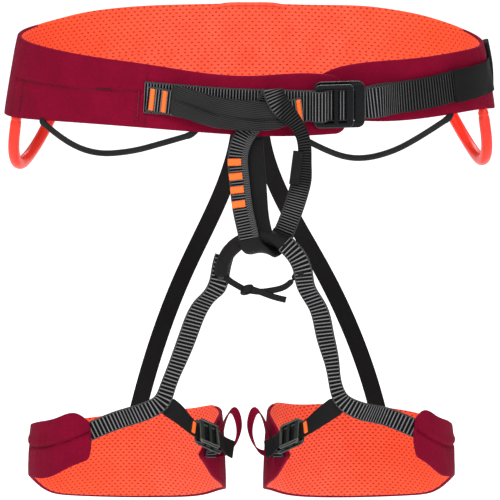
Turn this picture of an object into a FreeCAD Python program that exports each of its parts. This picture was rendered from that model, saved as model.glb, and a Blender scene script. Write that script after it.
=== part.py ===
"""Sport climbing sit harness, in millimetres, +Z up.

The origin is the centre of the waist ring, halfway up the sides of the belt. The wearer faces -Y,
the wearer's right side is -X. Every driving size is a cell of the spreadsheet called Sizes.
"""

import FreeCAD, Part

import math
import os

import Sketcher
from FreeCAD import Matrix, Placement, Rotation, Vector

SIZES = {
    # waist ring: half sizes of the outer surface at z = 0, and how much they grow per mm downward
    "waist_half_width": 187.8,
    "waist_half_depth": 102.0,
    "waist_flare_side": 0.1705,
    "waist_flare_front": 0.11,
    "waist_loft_low": -55.0,
    "waist_loft_high": 42.0,
    "overlap_step": 9.5,
    "lining_thick": 1.6,
    "foam_thick": 5.0,
    "shell_thick": 1.4,
    # webbings and elastics
    "waist_webbing_width": 25.0,
    "waist_webbing_thick": 1.6,
    "load_webbing_thick": 1.4,
    "tie_in_webbing_width": 20.0,
    "tie_in_webbing_thick": 2.0,
    "sleeve_width": 24.0,
    "sleeve_thick": 6.0,
    "belay_width": 16.0,
    "belay_thick": 3.0,
    "leg_webbing_width": 15.0,
    "leg_webbing_thick": 1.4,
    "riser_width": 13.5,
    "riser_thick": 2.0,
    "keeper_thick": 1.2,
    "lace_width": 5.0,
    "lace_thick": 2.0,
    "bartack_thick": 0.8,
    "bartack_width": 3.6,
    # lower tie-in arch
    "arch_centre_side": 8.5,
    "arch_centre_depth": -110.0,
    "arch_centre_height": -135.0,
    "arch_ring": 31.0,
    "arch_tube": 5.8,
    "arch_core": 3.4,
    # waist buckle
    "waist_plate_length": 40.0,
    "waist_plate_height": 37.0,
    "waist_slider_length": 30.0,
    "waist_slider_height": 34.0,
    "waist_slot_height": 27.0,
    "waist_plate_thick": 2.2,
    "waist_slider_thick": 2.4,
    "plate_corner": 5.0,
    "slider_corner": 2.0,
    # leg buckles
    "leg_plate_length": 27.0,
    "leg_plate_height": 23.0,
    "leg_slider_length": 20.0,
    "leg_slider_height": 22.0,
    "leg_slot_height": 16.5,
    "leg_plate_thick": 1.8,
    "leg_slider_thick": 1.8,
    # leg loops
    "leg_half_depth": 72.0,
    "leg_centre_depth": -5.0,
    "leg_flare": 0.05,
    "leg_loft_low": -372.0,
    "leg_loft_high": -240.0,
    "leg_lining_thick": 1.4,
    "leg_foam_thick": 4.2,
    "leg_shell_thick": 1.2,
    # gear loops
    "rear_loop_tube": 4.4,
    "front_loop_tube": 2.4,
    "haul_width": 12.0,
    "haul_thick": 1.6,
    "hook_width": 12.0,
    "hook_height": 9.0,
    "hook_thick": 3.0,
}

document = FreeCAD.newDocument("harness")
sheet = document.addObject("Spreadsheet::Sheet", "Sizes")
for row, (alias, value) in enumerate(SIZES.items(), start=1):
    sheet.set(f"A{row}", alias.replace("_", " "))
    sheet.set(f"B{row}", str(value))
    sheet.setAlias(f"B{row}", alias)
document.recompute()

NODES = []


def size(alias):
    """The value of one cell of the sheet."""
    return float(sheet.get(alias))


def bind(obj, prop, expression):
    """Ties one property to the sheet: names that start with a hash are its cells."""
    obj.setExpression(prop, expression.replace("#", "Sizes."))


def node(obj, name):
    """Marks an object as a finished sub-part with a name of its own."""
    obj.Label = name
    NODES.append(obj)
    return obj


def unit(*xyz):
    return Vector(*xyz).normalize()


# ---- shapes that several sub-parts share ----


def ellipse_at(name, half_width, half_depth, place, height):
    """A horizontal ellipse whose half sizes and height are expressions on the sheet."""
    obj = document.addObject("Part::Ellipse", name)
    bind(obj, "MajorRadius", half_width)
    bind(obj, "MinorRadius", half_depth)
    obj.Placement = Placement(Vector(place[0], place[1], 0), Rotation())
    bind(obj, "Placement.Base.z", height)
    return obj


def flared_solid(name, ring, inset):
    """The solid inside a flared elliptical surface, moved inward by the expression inset."""
    ends = []
    for end in ("low", "high"):
        height = f"{ring['loft']}_{end}"
        width = f"{ring['half_width']} - {ring['flare_side']} * ({height}{ring['zero']}) - ({inset})"
        depth = f"{ring['half_depth']} - {ring['flare_front']} * ({height}{ring['zero']}) - ({inset})"
        ends.append(ellipse_at(f"{name}_{end}", width, depth, ring["place"], height))
    loft = document.addObject("Part::Loft", name)
    loft.Sections = ends
    loft.Solid = True
    loft.Ruled = True
    return loft


def flared_ring(name, ring, outer, inner):
    """A flared ring between two insets."""
    cut = document.addObject("Part::Cut", name)
    cut.Base = flared_solid(name + "_outside", ring, outer)
    cut.Tool = flared_solid(name + "_inside", ring, inner)
    return cut


def curve_points(sketch, points):
    """One smooth curve through points of a sketch, or a line between two."""
    vectors = [Vector(x, z, 0) for x, z in points]
    if len(vectors) == 2:
        sketch.addGeometry(Part.LineSegment(*vectors), False)
        return
    curve = Part.BSplineCurve()
    curve.interpolate(vectors)
    sketch.addGeometry(curve, False)


def outline_block(name, curves, front, back):
    """A front-view outline, made of curves that follow one another, from y = front to y = back."""
    sketch = document.addObject("Sketcher::SketchObject", name + "_outline")
    for points in curves:
        curve_points(sketch, points)
    sketch.Placement = Placement(Vector(0, back, 0), Rotation(Vector(1, 0, 0), 90))
    block = document.addObject("Part::Extrusion", name)
    block.Base = sketch
    block.DirMode = "Custom"
    block.Dir = Vector(0, -1, 0)
    block.LengthFwd = back - front
    block.Solid = True
    return block


def combine(kind, name, parts):
    """A Part::Common, Part::Cut or Part::Fuse of two objects, or a MultiFuse of more."""
    obj = document.addObject("Part::" + kind, name)
    if kind == "MultiFuse":
        obj.Shapes = parts
    else:
        obj.Base, obj.Tool = parts
    return obj


def ribbon_sections(stations, width, thick, steps):
    """Corners of rectangles along a smooth line: each station is a point and a width direction."""
    line = Part.BSplineCurve()
    line.interpolate([Vector(*p) for p, _ in stations])
    places = [line.parameter(Vector(*p)) for p, _ in stations]
    places[0], places[-1] = line.FirstParameter, line.LastParameter
    sections = []
    for i in range(len(stations) - 1):
        last = i == len(stations) - 2
        for k in range(steps + (1 if last else 0)):
            share = k / steps
            at = places[i] + share * (places[i + 1] - places[i])
            across = Vector(*stations[i][1]) * (1 - share) + Vector(*stations[i + 1][1]) * share
            sections.append(section_corners(line, at, across, width, thick))
    return sections


def section_corners(line, at, across, width, thick):
    """The four corners of a strap's section, square to the line at one parameter."""
    point, along = line.value(at), line.tangent(at)[0]
    across = (across - along * across.dot(along)).normalize()
    out = along.cross(across).normalize()
    shifts = ((-1, -1), (1, -1), (1, 1), (-1, 1))
    return [point + across * (a * width / 2) + out * (b * thick / 2) for a, b in shifts]


def sleeve_solid(sections, closed):
    """A solid from ruled faces between neighbouring sections, closed on itself or by two ends."""
    faces = []
    pairs = list(zip(sections, sections[1:] + sections[:1]))
    for one, two in pairs if closed else pairs[:-1]:
        for i in range(4):
            k = (i + 1) % 4
            first, second = Part.makeLine(one[i], one[k]), Part.makeLine(two[i], two[k])
            faces.append(Part.makeRuledSurface(first, second, 1))
    if not closed:
        for corners in (sections[0], sections[-1]):
            faces.append(Part.Face(Part.makePolygon(corners + corners[:1])))
    skin = Part.Compound(faces)
    skin.sewShape()
    solid = Part.Solid(skin.Shells[0] if skin.Shells else Part.Shell(faces))
    if solid.Volume < 0:
        solid.reverse()
    return solid


def ribbon_shape(stations, width, thick, steps=3):
    """A flat strap of one width and thickness along the stations."""
    return sleeve_solid(ribbon_sections(stations, width, thick, steps), False)


def spot_on(stations, where, lift, closed=False):
    """A Placement on a strap's face: X along it, Y across it, Z out. where counts stations."""
    line = Part.BSplineCurve()
    points = [Vector(*p) for p, _ in stations]
    if closed:
        line.interpolate(points, PeriodicFlag=True)
    else:
        line.interpolate(points)
    i, share = int(where), where - int(where)
    first, last = line.parameter(points[i]), line.parameter(points[i + 1])
    at = first + share * (last - first)
    along = line.tangent(at)[0]
    across = Vector(*stations[i][1]) * (1 - share) + Vector(*stations[i + 1][1]) * share
    place = frame_from(tuple(line.value(at)), tuple(along), tuple(across))
    if place.Rotation.multVec(Vector(0, 0, 1)).y > 0:
        place = place * Placement(Vector(), Rotation(Vector(1, 0, 0), 180))
    return place * Placement(Vector(0, 0, lift), Rotation())


def strap(name, stations, width, thick, steps=3, listed=True):
    """A strap that bends in space, which no sketch holds: its width and thickness are cells."""
    obj = document.addObject("Part::Feature", name)
    obj.Shape = ribbon_shape(stations, size(width), size(thick), steps)
    return node(obj, name) if listed else obj


def rounded_route(points):
    """Straight runs joined by tangent arcs, each arc as large as its two runs allow."""
    points = [Vector(*p) for p in points]
    edges, start, radii = [], points[0], []
    for before, corner, after in zip(points, points[1:], points[2:]):
        back, on = (before - corner), (after - corner)
        reach = 0.45 * min(back.Length, on.Length)
        half_turn = (math.pi - back.getAngle(on)) / 2
        radius = reach / math.tan(half_turn)
        first, last = corner + back.normalize() * reach, corner + on.normalize() * reach
        bisector = (back + on).normalize()
        middle = corner + bisector * (radius / math.cos(half_turn) - radius)
        edges.append(Part.LineSegment(start, first).toShape())
        edges.append(Part.Arc(first, middle, last).toShape())
        start = last
        radii.append(radius)
    edges.append(Part.LineSegment(start, points[-1]).toShape())
    return Part.Wire(edges), radii


def swept_tube(name, points, radius):
    """A round tube along a rounded route. Its radius is a cell, and its volume is compared."""
    route = document.addObject("Part::Feature", name + "_route")
    route.Shape, radii = rounded_route(points)
    ring = document.addObject("Part::Circle", name + "_section")
    bind(ring, "Radius", "#" + radius)
    ahead = Vector(*points[1]) - Vector(*points[0])
    ring.Placement = Placement(Vector(*points[0]), Rotation(Vector(0, 0, 1), ahead))
    tube = document.addObject("Part::Sweep", name)
    tube.Sections = [ring]
    tube.Spine = (route, [f"Edge{i + 1}" for i in range(len(route.Shape.Edges))])
    tube.Solid = True
    tube.Frenet = False
    document.recompute()
    wanted = math.pi * size(radius) ** 2 * route.Shape.Length
    print(f"{name}: length {route.Shape.Length:.1f}, volume ratio {tube.Shape.Volume / wanted:.4f},"
          f" radii {[round(r, 1) for r in radii]}")
    return node(tube, name)


def block(name, length, width, height, place):
    """A box whose three sizes are expressions, centred on a Placement."""
    obj = document.addObject("Part::Box", name)
    for prop, text in (("Length", length), ("Width", width), ("Height", height)):
        bind(obj, prop, text)
    document.recompute()
    centre = Vector(obj.Length.Value / 2, obj.Width.Value / 2, obj.Height.Value / 2)
    obj.Placement = place * Placement(-centre, Rotation())
    return obj


def frame_from(origin, along, across):
    """A Placement whose X runs along a strap, Y across it and Z out of its face."""
    x, y = unit(*along), Vector(*across)
    y = (y - x * y.dot(x)).normalize()
    z = x.cross(y)
    o = Vector(*origin)
    return Placement(Matrix(x.x, y.x, z.x, o.x, x.y, y.y, z.y, o.y, x.z, y.z, z.z, o.z, 0, 0, 0, 1))


def plane_of(body, role):
    return next(f for f in body.Origin.OriginFeatures if f.Role == role)


def centred_rectangle(sketch, key, length, height, shift):
    """A rectangle whose length, height and X shift from the origin are expressions."""
    first = sketch.GeometryCount
    corners = [Vector(-1, -1, 0), Vector(1, -1, 0), Vector(1, 1, 0), Vector(-1, 1, 0)]
    for a, b in zip(corners, corners[1:] + corners[:1]):
        sketch.addGeometry(Part.LineSegment(a, b), False)
    for i in range(4):
        sketch.addConstraint(Sketcher.Constraint("Coincident", first + i, 2, first + (i + 1) % 4, 1))
    for i in (0, 2):
        sketch.addConstraint(Sketcher.Constraint("Horizontal", first + i))
    for i in (1, 3):
        sketch.addConstraint(Sketcher.Constraint("Vertical", first + i))
    rules = (
        ("length", Sketcher.Constraint("DistanceX", first, 1, first, 2, 2.0), length),
        ("height", Sketcher.Constraint("DistanceY", first + 1, 1, first + 1, 2, 2.0), height),
        ("left", Sketcher.Constraint("DistanceX", -1, 1, first, 1, -1.0), f"{shift} - ({length}) / 2"),
        ("low", Sketcher.Constraint("DistanceY", -1, 1, first, 1, -1.0), f"-({height}) / 2"),
    )
    for what, rule, expression in rules:
        index = sketch.addConstraint(rule)
        sketch.renameConstraint(index, key + what)
        bind(sketch, f"Constraints.{key}{what}", expression)


def buckle_plate(name, length, height, thick, slot, slots, corner, place):
    """A stamped frame with upright slots and rounded corners. Slots are pairs of shift and length."""
    body = document.addObject("PartDesign::Body", name)
    body.Label = name
    face = body.newObject("Sketcher::SketchObject", name + "_face")
    face.AttachmentSupport = [(plane_of(body, "XY_Plane"), "")]
    face.MapMode = "FlatFace"
    centred_rectangle(face, "frame_", length, height, "0")
    for i, (shift, wide) in enumerate(slots):
        centred_rectangle(face, f"slot{i}_", f"{wide}", slot, f"{shift}")
    pad = body.newObject("PartDesign::Pad", name + "_pad")
    pad.Profile = face
    bind(pad, "Length", thick)
    document.recompute()
    box = pad.Shape.BoundBox
    edges = []
    for i, edge in enumerate(pad.Shape.Edges, start=1):
        middle = edge.CenterOfMass
        upright = edge.BoundBox.ZLength > 0.9 * box.ZLength
        at_corner = abs(abs(middle.x) - box.XMax) < 0.01 and abs(abs(middle.y) - box.YMax) < 0.01
        if upright and at_corner:
            edges.append(f"Edge{i}")
    fillet = body.newObject("PartDesign::Fillet", name + "_corners")
    fillet.Base = (pad, edges)
    bind(fillet, "Radius", corner)
    body.Placement = place
    return node(body, name)


# ---- the waist ring ----

WAIST = {
    "half_width": "#waist_half_width",
    "half_depth": "#waist_half_depth",
    "flare_side": "#waist_flare_side",
    "flare_front": "#waist_flare_front",
    "loft": "#waist_loft",
    "zero": "",
    "place": (0, 0),
}
WAIST_UNDER = dict(WAIST, half_depth="(#waist_half_depth - #overlap_step)")

LINING, FOAM, SHELL = "#lining_thick", "#foam_thick", "#shell_thick"
FULL = f"{LINING} + {FOAM} + {SHELL}"
NOSE = 77
UNDER_NOSE = 38
SIDE = 215


def waist_point(x, z, out, step=0.0, back=False):
    """A point at one x on the outer surface, moved outward, and the surface's upward direction."""
    a = size("waist_half_width") - size("waist_flare_side") * z
    b = size("waist_half_depth") - size("waist_flare_front") * z - step
    sine = max(-1.0, min(1.0, x / a))
    cosine = math.sqrt(1 - sine * sine) * (-1 if back else 1)
    normal = unit(sine / a, -cosine / b, 0)
    point = Vector(a * sine, -b * cosine, z) + normal * out
    up = unit(-size("waist_flare_side") * sine, size("waist_flare_front") * cosine, 1)
    return (tuple(point), tuple(up))


def waist_regions():
    """The blocks that give the belt its edges: the over-lapping side with the back, and the under side."""
    over = outline_block("over_front", [
        [(-SIDE, 33), (-167, 33.7), (-111, 31), (-81, 29), (0, 22.3), (50, 23.5), (70, 21)],
        [(70, 21), (74.5, 12), (NOSE, -4), (NOSE - 0.5, -16), (70, -24.6)],
        [(70, -24.6), (16, -25.3), (-17, -23.8), (-84, -20.8), (-146, -22), (-180, -26.6), (-SIDE, -32)],
        [(-SIDE, -32), (-SIDE, 33)],
    ], -140, 0)
    under = outline_block("under_front", [
        [(UNDER_NOSE + 5, 12), (60, 22), (81, 27.3), (125, 28.5), (162, 28.9), (SIDE, 24)],
        [(SIDE, 24), (SIDE, -28)],
        [(SIDE, -28), (193, -24.2), (178, -20.1), (135, -19.3), (89, -17.9), (UNDER_NOSE + 5, -10)],
        [(UNDER_NOSE + 5, -10), (UNDER_NOSE, 1), (UNDER_NOSE + 5, 12)],
    ], -140, 0)
    back = outline_block("back", [
        [(-SIDE, 33), (-157, 33.2), (-118, 35.4), (-45, 36), (0, 36.8), (45, 36), (98, 36), (137, 33.8), (177, 27.8),
         (SIDE, 24)],
        [(SIDE, 24), (SIDE, -28)],
        [(SIDE, -28), (193, -25), (178, -28.5), (150, -35), (80, -46), (0, -50)],
        [(0, -50), (-80, -46), (-150, -37), (-178, -32.5), (-193, -29.2), (-SIDE, -32)],
        [(-SIDE, -32), (-SIDE, 33)],
    ], 0, 140)
    return combine("Fuse", "over_region", (over, back)), under


def belt_layer(name, regions, outer, inner):
    """One layer of the belt: its lapping side at full depth and its under side one step inward."""
    over = combine("Common", name + "_over", (flared_ring(name + "_ring", WAIST, outer, inner), regions[0]))
    ring = flared_ring(name + "_low_ring", WAIST_UNDER, outer, inner)
    under = combine("Common", name + "_under", (ring, regions[1]))
    return combine("Fuse", name + "_layer", (over, under))


def make_belt():
    """Shell, foam and lining all round, and the load webbing let into the foam."""
    regions = waist_regions()
    shell = belt_layer("belt_shell", regions, "0", SHELL)
    node(shell, "belt_shell")
    node(belt_layer("belt_lining", regions, f"{SHELL} + {FOAM}", FULL), "belt_lining")
    ring = flared_ring("load_ring", WAIST, SHELL, f"{SHELL} + #load_webbing_thick")
    zone = block("load_zone", "2 * #waist_half_width + 40", "150", "#waist_webbing_width",
                 Placement(Vector(0, 76, 0), Rotation()))
    load = node(combine("Common", "belt_load_webbing", (ring, zone)), "belt_load_webbing")
    foam = belt_layer("belt_foam_full", regions, SHELL, f"{SHELL} + {FOAM}")
    node(combine("Cut", "belt_foam", (foam, load)), "belt_foam")


# ---- straps of the waist ----

BUCKLE_TURN = 8
BUCKLE = frame_from((69.2, -98.5, -1.3), (math.cos(math.radians(BUCKLE_TURN)),
                                         math.sin(math.radians(BUCKLE_TURN)), 0), (0, 0, 1))
STRAP_OUT = 1.2
SEWN_GAP = 0.3


def in_buckle(x, out, lift=0.0):
    """A point of the waist buckle's own frame, with the strap's upward direction there."""
    return (tuple(BUCKLE.multVec(Vector(x, lift, out))), (0, 0, 1))


def make_waist_straps():
    """The adjustment strap, from its sewn start through the buckle to its free end."""
    sewn = ((-82, 3), (-60, 2.2), (-30, 0.6), (0, -0.6), (20, -1.2))
    tail = ((112, -0.4, 5.6), (128, 0.2, 3.8), (148, 2, 3.4), (165, 4, 3.4))
    under = size("overlap_step")
    route = [waist_point(x, z, STRAP_OUT) for x, z in sewn]
    route.append(((38, -104.3, -1.3), (0, 0.08, 1)))
    route += [in_buckle(x, 3.3) for x in (-17, 0, 17)]
    route.append(((97, -95.4, -0.6), (0, 0.05, 1)))
    route += [waist_point(x, z, out, under) for x, z, out in tail]
    strap("waist_strap", route, "waist_webbing_width", "waist_webbing_thick", 4)
    anchor = [in_buckle(5, -1.6), in_buckle(12, -1.6), in_buckle(19, -2.2)]
    anchor += [waist_point(x, -1, out, under) for x, out in ((98, 6.6), (108, 2.5), (116, 1.3), (124, 1.2))]
    strap("waist_buckle_anchor", anchor, "waist_webbing_width", "waist_webbing_thick")
    over = ((136, 1.5, 5.2), (150, 2.6, 5.2), (164, 3.4, 5.2), (176, 3, 3.0), (184, 2.4, 1.2))
    keeper = [waist_point(x, z, out, under) for x, z, out in over]
    strap("tail_keeper", keeper, "sleeve_width", "keeper_thick")


TIE_IN = [
    ((-80, -95.6, 2.5), (0, 0.1, 1)),
    ((-70, -98.8, 1.6), (0, 0.1, 1)),
    ((-58, -104.4, 0.4), (0, 0.05, 1)),
    ((-42, -109.0, -2.2), (0, 0, 1)),
    ((-24, -112.8, -5.0), (0, 0, 1)),
    ((0, -113.8, -7.0), (0, 0, 1)),
    ((20, -113.8, -6.6), (0, 0, 1)),
    ((30, -112.0, -5.0), (0, 0, 1)),
    ((36, -109.4, -4.0), (0, 0.05, 1)),
    ((41, -108.0, -3.4), (0, 0.1, 1)),
]


def make_tie_in():
    """The upper tie-in strap and its padded sleeve, which stand off the belt to leave a loop."""
    core = strap("tie_in_strap", TIE_IN, "tie_in_webbing_width", "tie_in_webbing_thick")
    full = strap("sleeve_full", TIE_IN[2:8], "sleeve_width", "sleeve_thick", listed=False)
    node(combine("Cut", "tie_in_sleeve", (full, core)), "tie_in_sleeve")


def bartack(name, height, place):
    """One dense bar of stitches across a strap, on a Placement from spot_on."""
    return block(name, "#bartack_width", height, "#bartack_thick", place)


def group(name, parts):
    """Several separate solids that share one node."""
    obj = document.addObject("Part::Compound", name)
    obj.Links = parts
    return node(obj, name)


def make_waist_bartacks():
    """Two dense stitch bars at the strap's sewn start and one beside the buckle."""
    lift = (size("tie_in_webbing_thick") + size("bartack_thick")) / 2 + SEWN_GAP
    bars = []
    for i, where in enumerate((0.4, 1.3, 8.4)):
        bars.append(bartack(f"waist_bar_{i}", "17", spot_on(TIE_IN, where, lift)))
    group("waist_bartacks", bars)


def make_waist_buckle():
    """Rear plate and front slider of the waist buckle. The strap runs between the two."""
    buckle_plate("waist_buckle_plate", "#waist_plate_length", "#waist_plate_height", "#waist_plate_thick",
                 "#waist_slot_height", ((-9, 5), (3, 5), (12.5, 3.4)), "#plate_corner", BUCKLE)
    front = BUCKLE * Placement(Vector(-4.5, 0, 4.7), Rotation())
    buckle_plate("waist_buckle_slider", "#waist_slider_length", "#waist_slider_height", "#waist_slider_thick",
                 "#waist_slot_height", ((-4.5, 8), (6.2, 6.4)), "#slider_corner", front)


# ---- belay loop and lower tie-in ----

RING_STEPS = 4
LABEL_SHIFT = -6

BELAY = [
    ((7, -113.4, -114.2), (1, 0, 0.05)),
    ((1, -118.2, -109), (1, 0, 0.2)),
    ((-1.5, -118.8, -100), (1, 0, 0.2)),
    ((-5, -118.6, -84), (1, 0, 0.1)),
    ((-8.5, -115.6, -56), (1, 0.1, 0)),
    ((-9, -111.6, -36), (1, 0, -0.1)),
    ((-3, -108.2, -22), (1, 0, 0.6)),
    ((6, -108.0, -10), (1, 0, 0.5)),
    ((13.5, -107.9, 3.6), (1, 0, 0.25)),
    ((17, -113.2, 12.4), (1, 0, 0)),
    ((21.5, -120.4, 5.2), (1, 0, 0.3)),
    ((31, -121.0, -6), (1, 0, 0.8)),
    ((40, -119.6, -20), (1, 0, 0.3)),
    ((42.5, -115.5, -40), (1, 0, 0)),
    ((39.5, -108.5, -62), (1, 0, -0.1)),
    ((33.5, -102.5, -84), (1, 0, -0.2)),
    ((28, -100.4, -99), (1, 0, -0.2)),
    ((22.5, -100.6, -109.6), (1, 0, -0.35)),
    ((14.5, -106, -115.6), (1, 0, -0.3)),
]


def make_belay_loop():
    """A closed ring of doubled webbing through both tie-in points."""
    ring = BELAY + BELAY[:1]
    line = Part.BSplineCurve()
    line.interpolate([Vector(*p) for p, _ in BELAY], PeriodicFlag=True)
    places = [line.parameter(Vector(*p)) for p, _ in BELAY] + [line.LastParameter]
    places[0] = line.FirstParameter
    sections = []
    for k in range(len(BELAY) * RING_STEPS):
        i, share = k // RING_STEPS, (k % RING_STEPS) / RING_STEPS
        at = places[i] + share * (places[i + 1] - places[i])
        across = Vector(*ring[i][1]) * (1 - share) + Vector(*ring[i + 1][1]) * share
        sections.append(section_corners(line, at, across, size("belay_width"), size("belay_thick")))
    obj = document.addObject("Part::Feature", "belay_loop")
    obj.Shape = sleeve_solid(sections, True)
    node(obj, "belay_loop")


def make_belay_trim():
    """Four stitch bars across the left strand and a folded label on the right one."""
    lift = (size("belay_thick") + size("bartack_thick")) / 2 + SEWN_GAP
    bars = []
    for i, where in enumerate((3.29, 3.68, 4.07, 4.6)):
        bars.append(block(f"belay_bar_{i}", "#bartack_width + 1.4", "12.5", "#bartack_thick",
                          spot_on(BELAY, where, lift, True)))
    group("belay_bartacks", bars)
    place = spot_on(BELAY, 13.36, lift + 0.3, True) * Placement(Vector(0, LABEL_SHIFT, 0), Rotation())
    node(block("belay_label", "30", "8", "#bartack_thick", place), "belay_label")


def make_arch():
    """The lower tie-in arch: a webbing core in a round wear sleeve, half a ring in the XZ plane."""
    place = Placement(Vector(size("arch_centre_side"), size("arch_centre_depth"), size("arch_centre_height")),
                      Rotation(Vector(1, 0, 0), 90))
    rings = []
    for name, radius in (("arch_outside", "#arch_tube"), ("tie_in_arch_webbing", "#arch_core"),
                         ("arch_hollow", "#arch_core")):
        ring = document.addObject("Part::Torus", name)
        bind(ring, "Radius1", "#arch_ring")
        bind(ring, "Radius2", radius)
        ring.Angle3 = 180
        ring.Placement = place
        rings.append(ring)
    node(rings[1], "tie_in_arch_webbing")
    node(combine("Cut", "tie_in_arch_protector", (rings[0], rings[2])), "tie_in_arch_protector")


def make_lace():
    """The lace that closes the arch below, with its knot."""
    lace = [
        ((-15.6, -111, -138.6), (0, 0.2, 1)),
        ((-11, -112, -142), (0.4, 0, 1)),
        ((-9.2, -112.5, -143.6), (0.4, 0, 1)),
    ]
    tail = [
        ((4.4, -112.5, -147), (0, 0.3, 1)),
        ((15, -112.6, -147.4), (0, 0, 1)),
        ((26, -112, -146), (0, 0, 1)),
        ((33, -111, -139), (0.7, 0, 0.7)),
    ]
    left = strap("lace_left", lace, "lace_width", "lace_thick", listed=False)
    right = strap("lace_right", tail, "lace_width", "lace_thick", listed=False)
    group("tie_in_lace", [left, right])
    knot = document.addObject("Part::Ellipsoid", "lace_knot")
    knot.Radius1 = 5
    knot.Radius2 = 6.4
    knot.Radius3 = 5
    knot.Placement = Placement(Vector(-2.4, -112.5, -146), Rotation(Vector(0, 1, 0), 20))
    node(knot, "lace_knot")


# ---- back of the belt ----

BACK_EDGE = -50.6


def make_back():
    """Anchor tab, hooks and elastic risers, and the haul loop with its folded anchor."""
    tab = block("riser_anchor", "34", "3", "9",
                Placement(Vector(0, 103.5, BACK_EDGE - 4.6), Rotation()))
    node(tab, "riser_anchor")
    for side, name in ((-1, "left"), (1, "right")):
        place = Placement(Vector(side * 8.5, 103.5, BACK_EDGE - 9.3 - size("hook_height") / 2), Rotation())
        hook = block(name + "_riser_hook", "#hook_width", "#hook_thick", "#hook_height", place)
        node(hook, name + "_riser_hook")
    for name, side, foot in (("left", -1, (-87.5, 63.8, -280.4)), ("right", 1, (100, 62.6, -280.4))):
        top = (side * 8.8, 103.4, BACK_EDGE - 10.2 - size("hook_height"))
        below = (side * 9.8, 103.2, top[2] - 6)
        middle = [t + 0.5 * (f - t) for t, f in zip(top, foot)]
        middle[0] += side * 2.5
        strap(name + "_riser", [(p, (1, 0, 0)) for p in (top, below, middle, foot)],
              "riser_width", "riser_thick")
    tab = [waist_point(0, z, 1.1, back=True) for z in (16, 2, -12)]
    tab = [(p, (1, 0, 0)) for p, _ in tab]
    flat = strap("haul_tab", tab, "haul_width", "haul_thick", listed=False)
    fold = block("haul_fold", "#haul_width", "9.4", "5", Placement(Vector(0, 109.6, -9.4), Rotation()))
    node(combine("Fuse", "haul_loop_anchor", (flat, fold)), "haul_loop_anchor")
    loop = [((0, 111.1, -13.2), (1, 0, 0)), ((0, 110.2, -26), (1, 0, 0)), ((0, 110.2, -42), (1, 0, 0)),
            ((0, 114, -51), (1, 0, 0)), ((0, 118, -42), (1, 0, 0)), ((0, 117.4, -26), (1, 0, 0)),
            ((0, 113.5, -13.2), (1, 0, 0))]
    strap("haul_loop", loop, "haul_width", "haul_thick")


# ---- gear loops ----


REAR_LOOPS = {
    "left_rear_gear_loop": [(-183.5, -25, -30.2), (-186, -18, -58), (-180.5, 1, -74),
                            (-166, 34, -61), (-152.5, 62, -43.5)],
    "right_rear_gear_loop": [(183.5, -25, -26.8), (186.4, -18, -55), (182, 1, -71),
                             (169, 34, -58), (155.5, 62, -41.5)],
}
FRONT_LOOPS = {
    "left_front_gear_loop": (
        (-159.4, -57.5), (-48, -100.8),
        ((0, -26.6), (0.13, -38.6), (0.35, -47), (0.6, -42.5), (0.82, -33.5), (0.99, -26.2))),
    "right_front_gear_loop": (
        (41.5, -99.5), (152, -57.2),
        ((0, -28.4), (0.17, -40.6), (0.38, -49), (0.62, -45.5), (0.84, -34), (1, -23.4))),
}


def make_gear_loops():
    """Moulded loops under the sides and cord loops under the front, each in an upright plane."""
    for name, route in REAR_LOOPS.items():
        swept_tube(name, route, "rear_loop_tube")
    for name, (start, end, drops) in FRONT_LOOPS.items():
        first, last = Vector(*start, 0), Vector(*end, 0)
        route = [tuple(first + (last - first) * share + Vector(0, 0, z)) for share, z in drops]
        swept_tube(name, route, "front_loop_tube")


# ---- leg loops ----

LEGS = {
    "left": {"side": -1, "centre": -97.0, "half": 77.0, "tab": 29.0, "buckle": 65.0,
             "strap": [(-25.4, -110.5, -143.2), (-35.2, -106, -156.4), (-47.5, -98, -183.8),
                       (-57.3, -91, -211.3), (-63.6, -87.6, -235), (-66.8, -87.2, -253)]},
    "right": {"side": 1, "centre": 86.0, "half": 74.6, "tab": 45.0, "buckle": 55.0,
              "strap": [(43.4, -110.5, -143.2), (52.8, -104, -162), (58.5, -97, -186),
                        (64, -91, -210), (68, -87.6, -234), (69.6, -87.2, -252)]},
}


def leg_ring(leg):
    return {
        "half_width": f"{leg['half']}",
        "half_depth": "#leg_half_depth",
        "flare_side": "#leg_flare",
        "flare_front": "#leg_flare",
        "loft": "#leg_loft",
        "zero": " + 300",
        "place": (leg["centre"], size("leg_centre_depth")),
    }


def leg_region(name, leg):
    """The pad's edges: tall at the back, a tab in front of the outer thigh and an end at the inner one."""
    side, centre, tab, half = leg["side"], leg["centre"], leg["tab"], leg["half"]
    middle = size("leg_centre_depth")

    def put(points):
        return [(centre + side * u, z) for u, z in points]

    wide = half + 12
    reach = half - tab
    back = outline_block(name + "_back", [
        put([(-wide, -280), (-40, -283), (0, -283.6), (40, -283), (wide, -280)]),
        put([(wide, -280), (wide, -320)]),
        put([(wide, -320), (half - 1, -322.5), (half - 10, -332), (half - 28, -345), (0, -353.5)]),
        put([(0, -353.5), (-30, -352), (-half + 16, -343), (-half + 2, -331.5), (-wide, -331)]),
        put([(-wide, -331), (-wide, -280)]),
    ], middle, middle + 90)
    outer = outline_block(name + "_tab", [
        put([(wide, -280), (tab + 0.63 * reach, -270), (tab + 0.23 * reach, -257.5), (tab, -264)]),
        put([(tab, -264), (tab - 2, -280), (tab, -292)]),
        put([(tab, -292), (tab + 0.31 * reach, -299.5), (tab + 0.65 * reach, -311),
             (half - 2, -321), (wide, -322)]),
        put([(wide, -322), (wide, -280)]),
    ], middle - 90, middle)
    inner = outline_block(name + "_inner", [
        put([(-wide, -280), (-half + 8, -284), (-half + 17, -294)]),
        put([(-half + 17, -294), (-half + 18, -308), (-half + 17, -321)]),
        put([(-half + 17, -321), (-half + 6, -328), (-wide, -331)]),
        put([(-wide, -331), (-wide, -280)]),
    ], middle - 90, middle)
    return combine("MultiFuse", name + "_region", [back, outer, inner])


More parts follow.
